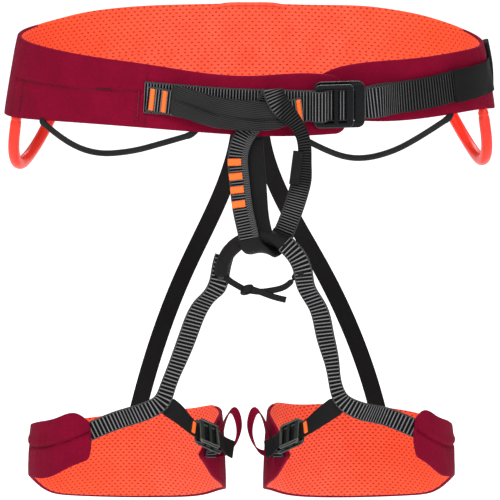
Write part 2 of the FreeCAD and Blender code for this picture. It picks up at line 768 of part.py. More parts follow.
def make_leg_pad(name, leg):
    """Shell, foam and lining of one leg loop."""
    ring, region = leg_ring(leg), leg_region(name, leg)
    shell, foam, lining = "#leg_shell_thick", "#leg_foam_thick", "#leg_lining_thick"
    layers = (
        ("shell", "0", shell),
        ("foam", shell, f"{shell} + {foam}"),
        ("lining", f"{shell} + {foam}", f"{shell} + {foam} + {lining}"),
    )
    for what, outer, inner in layers:
        full = f"{name}_pad_{what}"
        node(combine("Common", full, (flared_ring(full + "_ring", ring, outer, inner), region)), full)


def pad_point(leg, u, z, out):
    """A point on the pad's outer surface in front, u outward from its centre, moved outward."""
    drop = size("leg_flare") * (z + 300)
    a, b = leg["half"] - drop, size("leg_half_depth") - drop
    rise = math.sqrt(1 - (u / a) ** 2)
    normal = unit(leg["side"] * u / a ** 2, -rise / b, 0)
    point = Vector(leg["centre"] + leg["side"] * u, size("leg_centre_depth") - b * rise, z) + normal * out
    return tuple(point)


def leg_buckle_frame(leg):
    """The leg buckle's frame: X along the strap toward the inner thigh, Z out of its face."""
    side = leg["side"]
    along, across = (-side * 0.755, 0.47, -0.463), (side * 0.05, 0.74, 0.67)
    frame = frame_from((leg["centre"] - side * leg["buckle"], -66.5, -274), along, across)
    if side > 0:
        frame = frame * Placement(Vector(), Rotation(Vector(1, 0, 0), 180))
    return frame, across


def make_leg_straps(name, leg, frame, across):
    """Front strap, thigh webbing through the buckle, and the buckle's anchor on the pad."""
    side = leg["side"]
    strap(f"{name}_front_strap", [(p, (1, 0, -0.35 * side)) for p in leg["strap"]],
          "leg_webbing_width", "leg_webbing_thick")
    begin = pad_point(leg, leg["tab"] - 1.2, -273, -3.4)
    crest = leg["strap"][-1]
    rise = (side * 0.3, 0, 0.95)
    middle = (begin[0] + 0.42 * (crest[0] - begin[0]), begin[1] - 7.5 + leg["tab"] * 0.03, -263)
    webbing = [(begin, rise), (middle, rise), ((crest[0] + side * 6, -84.6, -250.6), (side * 0.2, 0, 1)),
               ((crest[0] - side * 8, -81.8, -252.6), (0, 0.2, 1))]
    webbing += [(tuple(frame.multVec(Vector(x, 0, 0))), across) for x in (-13, 0, 12)]
    webbing.append((tuple(frame.multVec(Vector(19, 0, -2.6))), (side * 0.1, 0.5, 0.8)))
    strap(f"{name}_thigh_webbing", webbing, "leg_webbing_width", "leg_webbing_thick")
    lift = (size("leg_webbing_thick") + size("bartack_thick")) / 2 + SEWN_GAP
    node(bartack(f"{name}_bartack", "11", spot_on(webbing, 3.85, lift)), f"{name}_bartack")
    anchor = [(tuple(frame.multVec(Vector(x, 0, -4.4))), across) for x in (1, 7)]
    flat = (-side * 0.56, 0.83, 0)
    anchor += [(pad_point(leg, 12 - leg["half"], z, out), flat) for z, out in ((-289, 3), (-297, 1.2))]
    strap(f"{name}_buckle_anchor", anchor, "leg_webbing_width", "leg_webbing_thick")


def make_leg_hardware(name, leg):
    """Straps, buckle and the elastic loop that keeps the strap's tail."""
    frame, across = leg_buckle_frame(leg)
    make_leg_straps(name, leg, frame, across)
    plate = frame * Placement(Vector(0, 0, -2.8), Rotation())
    slider = frame * Placement(Vector(-2, 0, 1.6), Rotation())
    buckle_plate(f"{name}_buckle_plate", "#leg_plate_length", "#leg_plate_height", "#leg_plate_thick",
                 "#leg_slot_height", ((-6, 4), (2.4, 4), (8.6, 2.4)), "#slider_corner + 1", plate)
    buckle_plate(f"{name}_buckle_slider", "#leg_slider_length", "#leg_slider_height", "#leg_slider_thick",
                 "#leg_slot_height", ((-3, 5), (4.6, 4)), "#slider_corner", slider)
    side = leg["side"]
    edge = leg["centre"] - side * leg["half"]
    keeper = [(edge + side * 3.0, -28.5, -287), (edge - side * 1, -35, -268), (edge - side * 7, -41, -259.8),
              (edge - side * 11, -45, -268), (edge - side * 9.5, -45, -283), (edge - side * 4, -40, -293),
              (edge + side * 4.6, -32.5, -297)]
    strap(f"{name}_tail_keeper", [(p, (0.2 * side, 1, 0.1)) for p in keeper], "lace_width", "keeper_thick")


def make_legs():
    for side in ("left", "right"):
        make_leg_pad(side + "_leg", LEGS[side])
        make_leg_hardware(side + "_leg", LEGS[side])


def export_parts():
    """Stops on any failed object, then writes one STEP file per sub-part."""
    document.recompute()
    for obj in document.Objects:
        if "Invalid" in obj.State or "Error" in obj.State:
            raise RuntimeError(f"{obj.Name} failed: {obj.State}")
    os.makedirs("parts", exist_ok=True)
    for obj in NODES:
        shape = obj.Shape
        if shape.isNull() or not shape.isValid():
            raise RuntimeError(f"{obj.Label} has no valid shape")
        shape.exportStep(f"parts/{obj.Label}.step")
        box = shape.optimalBoundingBox(False)
        low = f"{box.XMin:.1f} {box.YMin:.1f} {box.ZMin:.1f}"
        high = f"{box.XMax:.1f} {box.YMax:.1f} {box.ZMax:.1f}"
        print(f"{obj.Label}: solids {len(shape.Solids)}, volume {shape.Volume:.0f}, box {low} to {high}")
    print(len(NODES), "parts")


make_belt()
make_waist_straps()
make_tie_in()
make_waist_bartacks()
make_waist_buckle()
make_belay_loop()
make_belay_trim()
make_arch()
make_lace()
make_back()
make_gear_loops()
make_legs()
export_parts()
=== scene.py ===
"""Looks of the climbing harness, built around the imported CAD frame.

Shapes are worked out in millimetres, and add_object, cord_curve and plate turn them into metres. Angles round
the belt and the leg pads are in degrees from the front centre, toward -X on the belt and outward on a leg.
Lights and camera are placed in metres."""

import math

import bmesh
import bpy
import numpy as np
from mathutils import Matrix, Vector


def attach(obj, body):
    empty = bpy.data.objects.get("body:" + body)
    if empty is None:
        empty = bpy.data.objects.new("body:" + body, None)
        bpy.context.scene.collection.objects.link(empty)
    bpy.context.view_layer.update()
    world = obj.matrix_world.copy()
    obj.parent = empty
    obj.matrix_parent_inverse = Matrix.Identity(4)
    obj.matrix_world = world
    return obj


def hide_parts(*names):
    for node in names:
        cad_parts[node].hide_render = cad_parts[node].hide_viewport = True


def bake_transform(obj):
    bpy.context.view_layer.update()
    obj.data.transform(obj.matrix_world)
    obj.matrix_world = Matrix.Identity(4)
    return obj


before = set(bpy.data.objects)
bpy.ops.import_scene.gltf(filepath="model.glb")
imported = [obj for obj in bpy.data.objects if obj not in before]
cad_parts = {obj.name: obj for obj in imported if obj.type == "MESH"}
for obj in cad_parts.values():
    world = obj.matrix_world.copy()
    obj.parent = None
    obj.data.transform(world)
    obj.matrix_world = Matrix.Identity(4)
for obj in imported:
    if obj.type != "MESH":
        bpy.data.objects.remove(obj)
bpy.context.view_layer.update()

MM = 0.001


# ---- small tools ----


def vec(*xyz):
    return np.array(xyz, float)


def unit(v):
    return v / np.linalg.norm(v)


def smoothstep(x, low, high):
    t = np.clip((x - low) / (high - low), 0, 1)
    return t * t * (3 - 2 * t)


def window(x, rise, full, fade, end):
    """1 between full and fade, 0 before rise and after end, and smooth between."""
    return float(smoothstep(x, rise, full) * (1 - smoothstep(x, fade, end)))


def flatter(c, power):
    """A sine or cosine that gives a round section flatter sides."""
    return math.copysign(abs(c) ** power, c)


def wobble(x, seed):
    """A slow irregular wave of about 1 in height, for creases and hand-made unevenness."""
    wave = math.sin(x + seed) + 0.6 * math.sin(2.3 * x + 1.7 * seed) + 0.4 * math.sin(4.1 * x + 3.1 * seed)
    return wave / 2


def cubic(knots, values, at, closed=False):
    """A smooth curve through values at the knots. A closed one has its first value again at its end."""
    t, p = np.asarray(knots, float), np.asarray(values, float)
    n, h = len(t), np.diff(t)
    slope = np.diff(p, axis=0) / (h if p.ndim == 1 else h[:, None])
    a = np.zeros((n, n))
    b = np.zeros(p.shape)
    for i in range(1, n - 1):
        a[i, i - 1], a[i, i], a[i, i + 1] = h[i - 1], 2 * (h[i - 1] + h[i]), h[i]
        b[i] = 6 * (slope[i] - slope[i - 1])
    if closed:
        a[0, 0], a[0, 1], a[0, n - 2] = 2 * (h[0] + h[-1]), h[0], h[-1]
        b[0] = 6 * (slope[0] - slope[-1])
        a[n - 1, n - 1], a[n - 1, 0] = 1, -1
    else:
        a[0, 0] = a[n - 1, n - 1] = 1
    m = np.linalg.solve(a, b)
    at = np.clip(np.asarray(at, float), t[0], t[-1])
    i = np.clip(np.searchsorted(t, at, side="right") - 1, 0, n - 2)
    u, v, hi = at - t[i], t[i + 1] - at, h[i]
    if p.ndim > 1:
        u, v, hi = u[:, None], v[:, None], hi[:, None]
    return ((m[i] * v ** 3 + m[i + 1] * u ** 3) / (6 * hi) + (p[i] / hi - m[i] * hi / 6) * v
            + (p[i + 1] / hi - m[i + 1] * hi / 6) * u)


class Line:
    """A smooth line through stations, each a point and a width direction, both in millimetres."""

    def __init__(self, stations, closed=False):
        if closed:
            stations = list(stations) + [stations[0]]
        points = np.array([p for p, _ in stations], float)
        sides = np.array([d for _, d in stations], float)
        knots = np.r_[0, np.cumsum(np.linalg.norm(np.diff(points, axis=0), axis=1))]
        fine = np.linspace(0, knots[-1], 60 * len(stations))
        self.spots = cubic(knots, points, fine, closed)
        self.sides = np.stack([np.interp(fine, knots, sides[:, k]) for k in range(3)], axis=1)
        self.arc = np.r_[0, np.cumsum(np.linalg.norm(np.diff(self.spots, axis=0), axis=1))]
        self.length = self.arc[-1]
        self.at_station = np.interp(knots, fine, self.arc)
        self.closed = closed

    def station(self, where):
        """The length along the line at a station number, which may lie between two."""
        return float(np.interp(where, range(len(self.at_station)), self.at_station))

    def frame(self, s):
        """Point, direction along, direction across and outward direction at a length along it."""
        def read(table, x):
            return np.array([np.interp(x, self.arc, table[:, k]) for k in range(3)])

        step = 0.6
        if self.closed:
            before, after = (s - step) % self.length, (s + step) % self.length
        else:
            before, after = max(s - step, 0), min(s + step, self.length)
        along = unit(read(self.spots, after) - read(self.spots, before))
        side = read(self.sides, s)
        side = unit(side - along * side.dot(along))
        return read(self.spots, s), along, side, unit(np.cross(along, side))


def add_object(name, verts, faces, uvs=None, smooth=True):
    """A mesh object from points in millimetres, with a UV in millimetres for each point."""
    mesh = bpy.data.meshes.new(name)
    mesh.from_pydata([tuple(v) for v in np.asarray(verts, float) * MM], [], faces)
    if uvs is not None:
        layer = mesh.uv_layers.new(name="UVMap")
        flat = np.asarray(uvs, float)[[loop.vertex_index for loop in mesh.loops]]
        layer.data.foreach_set("uv", flat.ravel())
    mesh.polygons.foreach_set("use_smooth", [smooth] * len(mesh.polygons))
    mesh.update()
    obj = bpy.data.objects.new(name, mesh)
    bpy.context.scene.collection.objects.link(obj)
    return obj


def tube_faces(rows, ring, closed, base=0):
    """Faces between neighbouring rows of a ring of points, with end caps unless the rows close."""
    faces = []
    for i in range(rows if closed else rows - 1):
        k = (i + 1) % rows
        for j in range(ring):
            m = (j + 1) % ring
            faces.append((base + i * ring + j, base + k * ring + j, base + k * ring + m, base + i * ring + m))
    if not closed:
        faces.append(tuple(base + j for j in range(ring)))
        faces.append(tuple(base + (rows - 1) * ring + j for j in reversed(range(ring))))
    return faces


def outward(obj):
    """Turns every face of a closed mesh outward."""
    work = bmesh.new()
    work.from_mesh(obj.data)
    bmesh.ops.recalc_face_normals(work, faces=work.faces)
    work.to_mesh(obj.data)
    work.free()
    return obj


def dress(obj, body, material, slot, replaces=()):
    """Gives a piece its looks and hides the CAD nodes it stands for. A piece with no body is left unattached.
    """
    obj.data.materials.append(material)
    if body:
        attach(obj, body)
    if replaces:
        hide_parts(*replaces)
    return obj


def swept(name, rows, ring, place, section):
    """A closed tube. At a share t of its length, place(t) gives its centre, two directions across it and the
    length so far, and section(t, angle) gives a point's way along each direction and its second UV."""
    verts, uvs = [], []
    for i in range(rows):
        t = i / (rows - 1)
        centre, side, out, s = place(t)
        for j in range(ring):
            a, b, v = section(t, 2 * math.pi * j / ring)
            verts.append(centre + side * a + out * b)
            uvs.append((s, v))
    return outward(add_object(name, verts, tube_faces(rows, ring, False), uvs))


def along_line(line, start, end, rise=lambda t: 0.0):
    """The places of a swept tube between two lengths of a Line, raised by rise(t)."""
    def place(t):
        s = start + (end - start) * t
        point, along, side, out = line.frame(s)
        return point + vec(0, 0, rise(t)), side, out, s
    return place


# ---- materials ----


class Nodes:
    """A short way to write a material's node tree."""

    def __init__(self, name, rough=0.8, metallic=0.0, sheen=0.0, specular=0.35):
        self.material = bpy.data.materials.new(name)
        self.material.use_nodes = True
        self.tree = self.material.node_tree
        self.shader = self.tree.nodes["Principled BSDF"]
        self.shader.inputs["Roughness"].default_value = rough
        self.shader.inputs["Metallic"].default_value = metallic
        self.shader.inputs["Sheen Weight"].default_value = sheen
        self.shader.inputs["Specular IOR Level"].default_value = specular

    def add(self, kind, **values):
        node = self.tree.nodes.new(kind)
        for key, value in values.items():
            setattr(node, key, value)
        return node

    def link(self, source, target):
        if isinstance(source, (int, float)):
            target.default_value = source
        else:
            self.tree.links.new(source, target)

    def math(self, operation, a, b=None, c=None):
        node = self.add("ShaderNodeMath", operation=operation)
        for socket, value in zip(node.inputs, (a, b, c)):
            if value is not None:
                self.link(value, socket)
        return node.outputs[0]

    def times(self, a, b):
        return self.math("MULTIPLY", a, b)

    def plus(self, a, b):
        return self.math("ADD", a, b)

    def scaled(self, value, factor, shift):
        return self.math("MULTIPLY_ADD", value, factor, shift)

    def cover(self, value, other, zone):
        """The first value outside a zone, and the other inside it."""
        return self.plus(self.times(value, self.math("SUBTRACT", 1.0, zone)), self.times(other, zone))

    def band(self, value, low, high):
        """0 below low, 1 above high, smooth between."""
        node = self.add("ShaderNodeMapRange", interpolation_type="SMOOTHSTEP")
        self.link(value, node.inputs["Value"])
        node.inputs["From Min"].default_value = low
        node.inputs["From Max"].default_value = high
        return node.outputs[0]

    def parts(self, vector):
        split = self.add("ShaderNodeSeparateXYZ")
        self.link(vector, split.inputs[0])
        return split.outputs

    def uv(self):
        return self.parts(self.add("ShaderNodeUVMap", uv_map="UVMap").outputs[0])[:2]

    def place(self):
        return self.add("ShaderNodeTexCoord").outputs["Object"]

    def noise(self, scale, detail=3.0, where=None):
        node = self.add("ShaderNodeTexNoise")
        node.inputs["Scale"].default_value = scale
        node.inputs["Detail"].default_value = detail
        self.link(self.place() if where is None else where, node.inputs["Vector"])
        return node.outputs["Fac"]

    def mix(self, share, one, two):
        """A blend of two colours, each a tuple or a socket."""
        node = self.add("ShaderNodeMix", data_type="RGBA")
        self.link(share, node.inputs["Factor"])
        for value, socket in ((one, node.inputs[6]), (two, node.inputs[7])):
            if isinstance(value, tuple):
                socket.default_value = (*value, 1)
            else:
                self.link(value, socket)
        return node.outputs[2]

    def colour(self, source):
        self.link(source, self.shader.inputs["Base Color"])

    def rough(self, source):
        self.link(source, self.shader.inputs["Roughness"])

    def bump(self, height, distance_mm, strength=1.0):
        node = self.add("ShaderNodeBump")
        node.inputs["Strength"].default_value = strength
        node.inputs["Distance"].default_value = distance_mm * MM
        self.link(height, node.inputs["Height"])
        self.link(node.outputs[0], self.shader.inputs["Normal"])

    def wave(self, value, pitch, shift=0.0):
        """A cosine wave from 0 to 1 along a length."""
        return self.scaled(self.math("COSINE", self.scaled(value, 2 * math.pi / pitch, shift)), 0.5, 0.5)


def shell_fabric():
    n = Nodes("burgundy shell", rough=0.85, specular=0.06)
    u, v = n.uv()
    weave = n.times(n.wave(u, 0.9), n.wave(v, 0.9))
    patch = n.times(n.noise(45, 5), n.noise(700, 2))
    n.colour(n.mix(n.scaled(weave, 0.3, n.times(patch, 1.5)),
                   (0.105, 0.0007, 0.0105), (0.225, 0.0019, 0.0245)))
    n.bump(n.scaled(weave, 0.6, n.noise(120, 5)), 0.18, 0.6)
    return n.material


def mesh_lining(name, pitch):
    """A soft spacer mesh with staggered rows of small slots."""
    n = Nodes(name, rough=0.9, sheen=0.05, specular=0.1)
    u, v = n.uv()
    row_height = pitch * 0.49
    row = n.math("DIVIDE", v, row_height)
    odd = n.math("MODULO", n.math("FLOOR", n.math("ABSOLUTE", row)), 2.0)
    across = n.scaled(odd, 0.5, n.math("DIVIDE", u, pitch))

    def from_middle(value, slots):
        return n.times(n.math("SUBTRACT", n.math("FRACT", n.plus(value, 1000)), 0.5), slots)

    dx, dy = from_middle(across, pitch / 0.95), from_middle(row, row_height / 0.55)
    away = n.math("SQRT", n.plus(n.times(dx, dx), n.times(dy, dy)))
    solid = n.band(away, 0.5, 0.95)
    rim = n.band(away, 0.7, 1.7)
    knit = n.times(n.wave(u, 0.8), n.wave(v, 0.8, 1.0))
    tone = n.scaled(knit, 0.3, n.times(n.noise(60, 3), 0.6))
    fill = n.mix(tone, (0.80, 0.060, 0.024), (0.96, 0.150, 0.085))
    # Painted shade: toward the sides (large object X) the lining is painted a deeper, more saturated orange,
    # where the light falls off.
    side = n.band(n.math("ABSOLUTE", n.parts(n.place())[0]), 0.05, 0.17)
    fill = n.mix(n.times(side, 0.75), fill, (0.97, 0.072, 0.018))
    near = n.mix(rim, (0.76, 0.050, 0.020), fill)
    n.colour(n.mix(solid, (0.28, 0.015, 0.008), near))
    n.bump(n.plus(n.times(rim, 0.8), n.times(knit, 0.15)), 0.7, 0.8)
    return n.material


def webbing(name, pitch, half, light=0.19, dark=0.0030, share=0.25, fade=0.0, flank=0.0):
    """Black webbing with pale ribs across it and a hatched selvedge. Its ribs may fade along +X. A flank is
    the width of the hatched side of a thick tubular loop; with one, the ribs of the loop's strand at +X are
    darker higher up."""
    n = Nodes(name, rough=0.7, specular=0.04)
    u, v = n.uv()
    x, y, z = n.parts(n.place())
    rib = n.band(n.wave(u, pitch), 1 - share - 0.16, 1 - share + 0.22)
    thread = n.wave(v, 1.15)
    edge = n.band(n.math("ABSOLUTE", v), half - 1.5, half - 0.7)
    hatch = n.band(n.wave(n.plus(u, n.times(v, 1.6)), 1.9), 0.45, 0.8)
    pattern = n.cover(n.times(rib, n.scaled(thread, 0.45, 0.55)), n.times(hatch, 0.55), edge)
    pattern = n.times(pattern, n.scaled(n.noise(90, 2), 0.7, 0.6))
    if fade:
        pattern = n.times(pattern, n.scaled(n.band(x, 0.088, 0.135), -fade, 1.0))
    if flank:
        zone = n.times(n.band(v, half - flank, half - flank + 0.8), n.band(x, 0.016, 0.010))
        slant = n.math("ABSOLUTE", n.math("SINE", n.times(v, 1.9)))
        cross = n.band(n.wave(n.plus(u, slant), 1.7), 0.5, 0.8)
        pattern = n.cover(pattern, n.times(cross, 0.75), zone)
        # The ribs of the strand at +X are darkened on its upper part: fully above z -58 mm, not at all below
        # z -80 mm.
        upper_strand_darkening = n.times(n.band(z, -0.080, -0.058), n.band(x, 0.018, 0.026))
        pattern = n.times(pattern, n.scaled(upper_strand_darkening, -0.75, 1.0))
    n.colour(n.mix(pattern, (dark, dark, dark * 1.08), (light, light, light * 1.03)))
    n.bump(n.scaled(thread, 0.4, rib), 0.22, 0.7)
    return n.material


def plain_band(name, level, pitch=0.9, rough=0.8, lean=0.0, contrast=0.6, deep=0.45, base=0.0):
    """Dark elastic, tape or twill: fine ribs along or leaning across its length."""
    n = Nodes(name, rough=rough, specular=0.06)
    u, v = n.uv()
    rib = n.wave(n.scaled(u, lean, v) if lean else v, pitch)
    fine = n.wave(u, 0.7)
    tone = n.scaled(n.noise(50, 3), 0.5, n.scaled(fine, 0.15, base))
    low, high = level * deep, level * 1.5
    n.colour(n.mix(n.scaled(rib, contrast, tone), (low, low, low), (high, high, level * 1.52)))
    n.bump(n.plus(rib, n.times(fine, 0.4)), 0.16, 0.7)
    return n.material


def thread(name, colour, dark):
    n = Nodes(name, rough=0.55, specular=0.25)
    n.colour(n.mix(n.noise(900, 2), dark, colour))
    n.bump(n.noise(1600, 2), 0.1, 0.5)
    return n.material


def anodised(name, colour, painted_edge_highlight, rough=0.32):
    """Anodised metal with a painted highlight: its corners are painted brighter, broken up by grain."""
    n = Nodes(name, rough=rough, metallic=0.7, specular=0.3)
    point = n.add("ShaderNodeNewGeometry").outputs["Pointiness"]
    grain = n.noise(300, 3)
    # Painted highlight: convex corners, found by pointiness, take the bright colour in grain-broken patches.
    wear = n.times(n.band(point, 0.52, 0.62), n.scaled(grain, 0.8, 0.2))
    n.colour(n.mix(wear, colour, painted_edge_highlight))
    n.rough(n.scaled(grain, 0.18, rough - 0.09))
    n.bump(grain, 0.03, 0.4)
    return n.material


def moulded(name, colour, dark, rough=0.38):
    n = Nodes(name, rough=rough, specular=0.3)
    n.shader.inputs["Coat Weight"].default_value = 0.06
    n.shader.inputs["Coat Roughness"].default_value = 0.3
    n.colour(n.mix(n.noise(40, 3), dark, colour))
    n.rough(n.scaled(n.noise(220, 3), 0.2, rough - 0.08))
    n.bump(n.noise(700, 3), 0.05, 0.5)
    return n.material


def cord_sheath(name):
    """A smooth woven sheath: its two sets of strands cross at a slant."""
    n = Nodes(name, rough=0.6, specular=0.1)
    x, y, z = n.parts(n.place())
    strand = 0.0012
    weave = n.math("MAXIMUM", n.wave(n.plus(x, z), strand), n.wave(n.math("SUBTRACT", x, z), strand))
    n.colour(n.mix(n.times(weave, n.noise(80, 2)), (0.004, 0.004, 0.0045), (0.028, 0.028, 0.030)))
    n.bump(weave, 0.15, 0.6)
    return n.material


SHELL = shell_fabric()
LINING = mesh_lining("orange mesh", 5.5)
LEG_LINING = mesh_lining("orange leg mesh", 4.8)
WAIST_WEB = webbing("waist webbing", 2.4, 12.5, fade=0.72)
BELAY_WEB = webbing("belay webbing", 2.3, 8.0, light=0.15, share=0.27, flank=5.0)
LEG_WEB = webbing("leg webbing", 2.45, 7.5, light=0.16)
THIGH_WEB = webbing("thigh webbing", 3.2, 7.5, light=0.22, share=0.24)
SMOOTH_WEB = plain_band("smooth webbing", 0.0075, 1.2, rough=0.55)
TIE_WEB = webbing("tie-in webbing", 2.4, 10.0)
ELASTIC = plain_band("riser elastic", 0.0065, 1.3)
KEEPER = plain_band("keeper elastic", 0.0070, 0.9, rough=0.7)
TWILL = plain_band("sleeve twill", 0.019, 1.45, rough=0.6, lean=0.10, contrast=1.0, deep=0.2, base=-0.25)
WEAR = plain_band("wear sleeve", 0.0085, 0.8, rough=0.45)
ORANGE_THREAD = thread("orange thread", (1.0, 0.185, 0.022), (0.80, 0.10, 0.012))
RED_THREAD = thread("burgundy thread", (0.060, 0.002, 0.010), (0.020, 0.001, 0.004))
PINK_THREAD = thread("pale burgundy thread", (0.34, 0.020, 0.070), (0.14, 0.006, 0.025))
SEAM_THREAD = thread("black thread", (0.004, 0.004, 0.004), (0.0015, 0.0015, 0.0015))
BLACK_METAL = anodised("black anodised", (0.004, 0.0045, 0.005), (0.34, 0.35, 0.36), 0.28)
GREY_METAL = anodised("grey anodised", (0.014, 0.020, 0.016), (0.50, 0.54, 0.51), 0.24)
ORANGE_PLASTIC = moulded("orange moulding", (0.80, 0.026, 0.007), (0.62, 0.015, 0.004), 0.33)
BLACK_PLASTIC = moulded("black moulding", (0.010, 0.010, 0.011), (0.005, 0.005, 0.006))
CORD = cord_sheath("cord sheath")
LABEL = plain_band("label", 0.010, 0.5)


# ---- straps ----


def strap_section(width, thick, across=6):
    """Points round a flat strap: across, out and how much each one belongs to a broad face."""
    half, r = width / 2, thick / 2
    ring = []
    for sign in (1, -1):
        for k in range(across + 1):
            ring.append((sign * (-half + r + (width - thick) * k / across), sign * r, 1.0))
        for turn in (0.25, 0.5, 0.75):
            angle = math.pi * (0.5 - turn)
            ring.append((sign * (half - r + r * math.cos(angle)), sign * r * math.sin(angle), 0.0))
    return ring


def ribbon(name, line, width, thick, pitch=0.0, rib=0.0, span=None, crown=0.0, shape=None):
    """A strap along a Line, with cross ribs of one pitch and height. span is its start and end along it."""
    start, end = span or (0, line.length)
    closed = line.closed and not span
    step = pitch / 4 if pitch else 1.5
    rows = max(4, round((end - start) / step)) + (0 if closed else 1)
    section = strap_section(width, thick)
    verts, uvs = [], []
    for i in range(rows):
        s = start + (end - start) * i / (rows if closed else rows - 1)
        point, along, side, out = line.frame(s)
        wide = shape(s - start) if shape else 1.0
        ridge = rib * math.cos(2 * math.pi * s / pitch) if pitch else 0.0
        for a, b, face in section:
            bulge = crown * (1 - (2 * a / width) ** 2) * face
            height = b + math.copysign(ridge * face + bulge, b) * (face > 0)
            verts.append(point + side * a * wide + out * height)
            uvs.append((s, a + (0 if face else math.copysign(0.6, a))))
    return outward(add_object(name, verts, tube_faces(rows, len(section), closed), uvs))


def facing(points, side):
    """Stations that share one width direction."""
    return [(p, side) for p in points]


def strap(name, line, width, thick, body, material, slot="black_webbing", replaces=(), **form):
    """A dressed ribbon along a Line, or along the stations of one."""
    if not isinstance(line, Line):
        line = Line(line)
    return dress(ribbon(name, line, width, thick, **form), body, material, slot, replaces)


def bartack(name, line, s, shift, length, width, body, lift):
    """A dense zigzag of thread across a strap: ridges of thread side by side, rounded at the ends."""
    point, along, side, out = line.frame(s)
    if out[1] > 0:
        out = -out
    step, ridge_width = 0.16, 0.62
    nx, ny = 9, int(length / step)
    verts = []
    for j in range(ny + 1):
        y = j / ny * 2 - 1
        ridge = 0.16 * abs(math.sin(math.pi * length * j / ny / ridge_width))
        ragged = 0.75 * wobble(17.0 * j / ny * length / 3, 1.0 + abs(shift) + s)
        for i in range(nx + 1):
            x = i / nx * 2 - 1
            height = (0.62 + ridge) * max(0.0, 1 - abs(x) ** 5) * max(0.0, 1 - abs(y) ** 14) + lift - 0.25
            way = along * (x * (width / 2 + ragged * abs(x))) + side * (shift + y * length / 2)
            verts.append(point + way + out * height)
    row = nx + 1
    grid = row * (ny + 1)
    low = [v - out * 0.25 for v in verts]
    faces = []
    for j in range(ny):
        for i in range(nx):
            a = j * row + i
            faces.append((a, a + 1, a + row + 1, a + row))
            faces.append((grid + a, grid + a + row, grid + a + row + 1, grid + a + 1))
    rim = [i for i in range(row)] + [(j + 1) * row + nx for j in range(ny)]
    rim += [ny * row + i for i in reversed(range(nx))] + [j * row for j in reversed(range(1, ny))]
    for a, b in zip(rim, rim[1:] + rim[:1]):
        faces.append((a, grid + a, grid + b, b))
    return dress(outward(add_object(name, verts + low, faces)), body, ORANGE_THREAD, "orange_thread")


def stitches(name, spots, body, material, slot, radius, share=0.62):
    """A row of stitches: each spot is a point and an outward direction. Stitches lie between spots."""
    verts, faces = [], []
    rings, sides = 5, 6
    for (p, out), (q, _) in zip(spots, spots[1:]):
        along, half = unit(q - p), np.linalg.norm(q - p) * share / 2
        side = unit(np.cross(along, out))
        base = len(verts)
        for k in range(rings):
            x = k / (rings - 1) * 2 - 1
            r = radius * math.sqrt(max(0.04, 1 - x ** 4))
            dip = 0.22 * x * x
            for j in range(sides):
                angle = 2 * math.pi * j / sides
                verts.append((p + q) / 2 + along * x * half + side * r * math.cos(angle)
                             + out * (r * math.sin(angle) * 0.8 - dip))
        faces += tube_faces(rings, sides, False, base)
    return dress(outward(add_object(name, verts, faces)), body, material, slot)


def spaced(spots, pitch):
    """Of many spots along a row, those at least a pitch apart."""
    kept = spots[:1]
    for spot in spots:
        if np.linalg.norm(spot[0] - kept[-1][0]) >= pitch:
            kept.append(spot)
    return kept


def spot_on(place, w, z, inset):
    """A spot for a stitch on a padded band: its point and outward direction."""
    p = place(w, z, inset)
    return p, unit(p - place(w, z, inset + 1))


# ---- padded bands: the belt and the leg pads ----


def band_mesh(name, place, span, columns, section, edges):
    """A closed padded band. place(w, z, inset) gives a point on it, edges(w) its bottom and top heights."""
    verts, uvs = [], []
    length, previous = 0.0, None
    for i in range(columns):
        w = span[0] + (span[1] - span[0]) * i / (columns - 1)
        low, high = edges(w)
        middle = place(w, (low + high) / 2, 0)
        length += 0.0 if previous is None else float(np.linalg.norm(middle - previous))
        previous = middle
        for share, inset, shift in section(w):
            z = low + (high - low) * share
            verts.append(place(w, z, inset))
            uvs.append((length, z + shift))
    return outward(add_object(name, verts, tube_faces(columns, len(section(span[0])), False), uvs))


def dome(t):
    """How full a pad is at a share of its height: full over most of it, and nothing at both edges."""
    return 1 - abs(2 * t - 1) ** 3.2


def rounding(left, reach, power=2.0, least=0.0):
    """How full a shape is with some length left before its rounded end."""
    return math.sqrt(max(least, 1 - (1 - min(1.0, left / reach)) ** power))


def pad_section(thick, edge, rows, groove, puff=0.7):
    """Round a pad: the outer face upward, over the top edge, and the inner face down again."""
    skin, inner = 0.3, edge * 1.35

    def rim(base, height, sign):
        """The rounded binding of one edge, inward over the top for +1 and outward under the bottom for -1."""
        angles = [math.pi * k / 4 for k in range(1, 4)]
        return [(base + height * math.sin(q), skin + (edge * 1.2 - skin) * (1 - sign * math.cos(q)) / 2, 0.0)
                for q in angles]

    def section(w):
        ring = []
        for k in range(rows + 1):
            t = k / rows
            ring.append((t, skin * (1 - dome(t)) - puff * dome(t) * 0.35 + groove(w, t), 0.0))
        ring += rim(1, 0.010, 1)
        for k in range(rows // 2 + 1):
            t = 1 - k / (rows // 2)
            ring.append((t, inner + (thick - 1.6 - inner) * dome(t), 200.0))
        return ring + rim(0, -0.010, -1)
    return section


def lining_section(thick, edge, rows, rolled, seam):
    """The mesh panel on the inner face. rolled(w) is how far it rolls over the top edge, from 0 to 1."""
    def section(w):
        roll = rolled(w)
        ring = [(0.985 + 0.027 * roll, edge * (1.2 - 0.85 * roll), 0.0),
                (0.986 + 0.032 * roll, edge * (1.25 - 0.5 * roll), 0.0),
                (0.987 + 0.021 * roll, edge * (1.3 - 0.1 * roll), 0.0)]
        for k in range(rows + 1):
            t = 0.988 - 0.97 * k / rows
            ring.append((t, edge * 1.35 + 0.4 + (thick - edge * 1.35) * dome(t) - seam(w, t), 0.0))
        for k in range(rows + 1):
            t = 0.018 + 0.96 * k / rows
            ring.append((t, edge * 1.2 + (thick - 2.2 - edge * 1.2) * dome(t), 0.0))
        return ring
    return section


def heights(points):
    """A function of the angle through (angle, height) pairs."""
    points = sorted(points)
    knots, values = [p[0] for p in points], [p[1] for p in points]
    table = np.linspace(knots[0], knots[-1], 900)
    curve = cubic(knots, values, table)
    return lambda w: float(np.interp(w, table, curve))


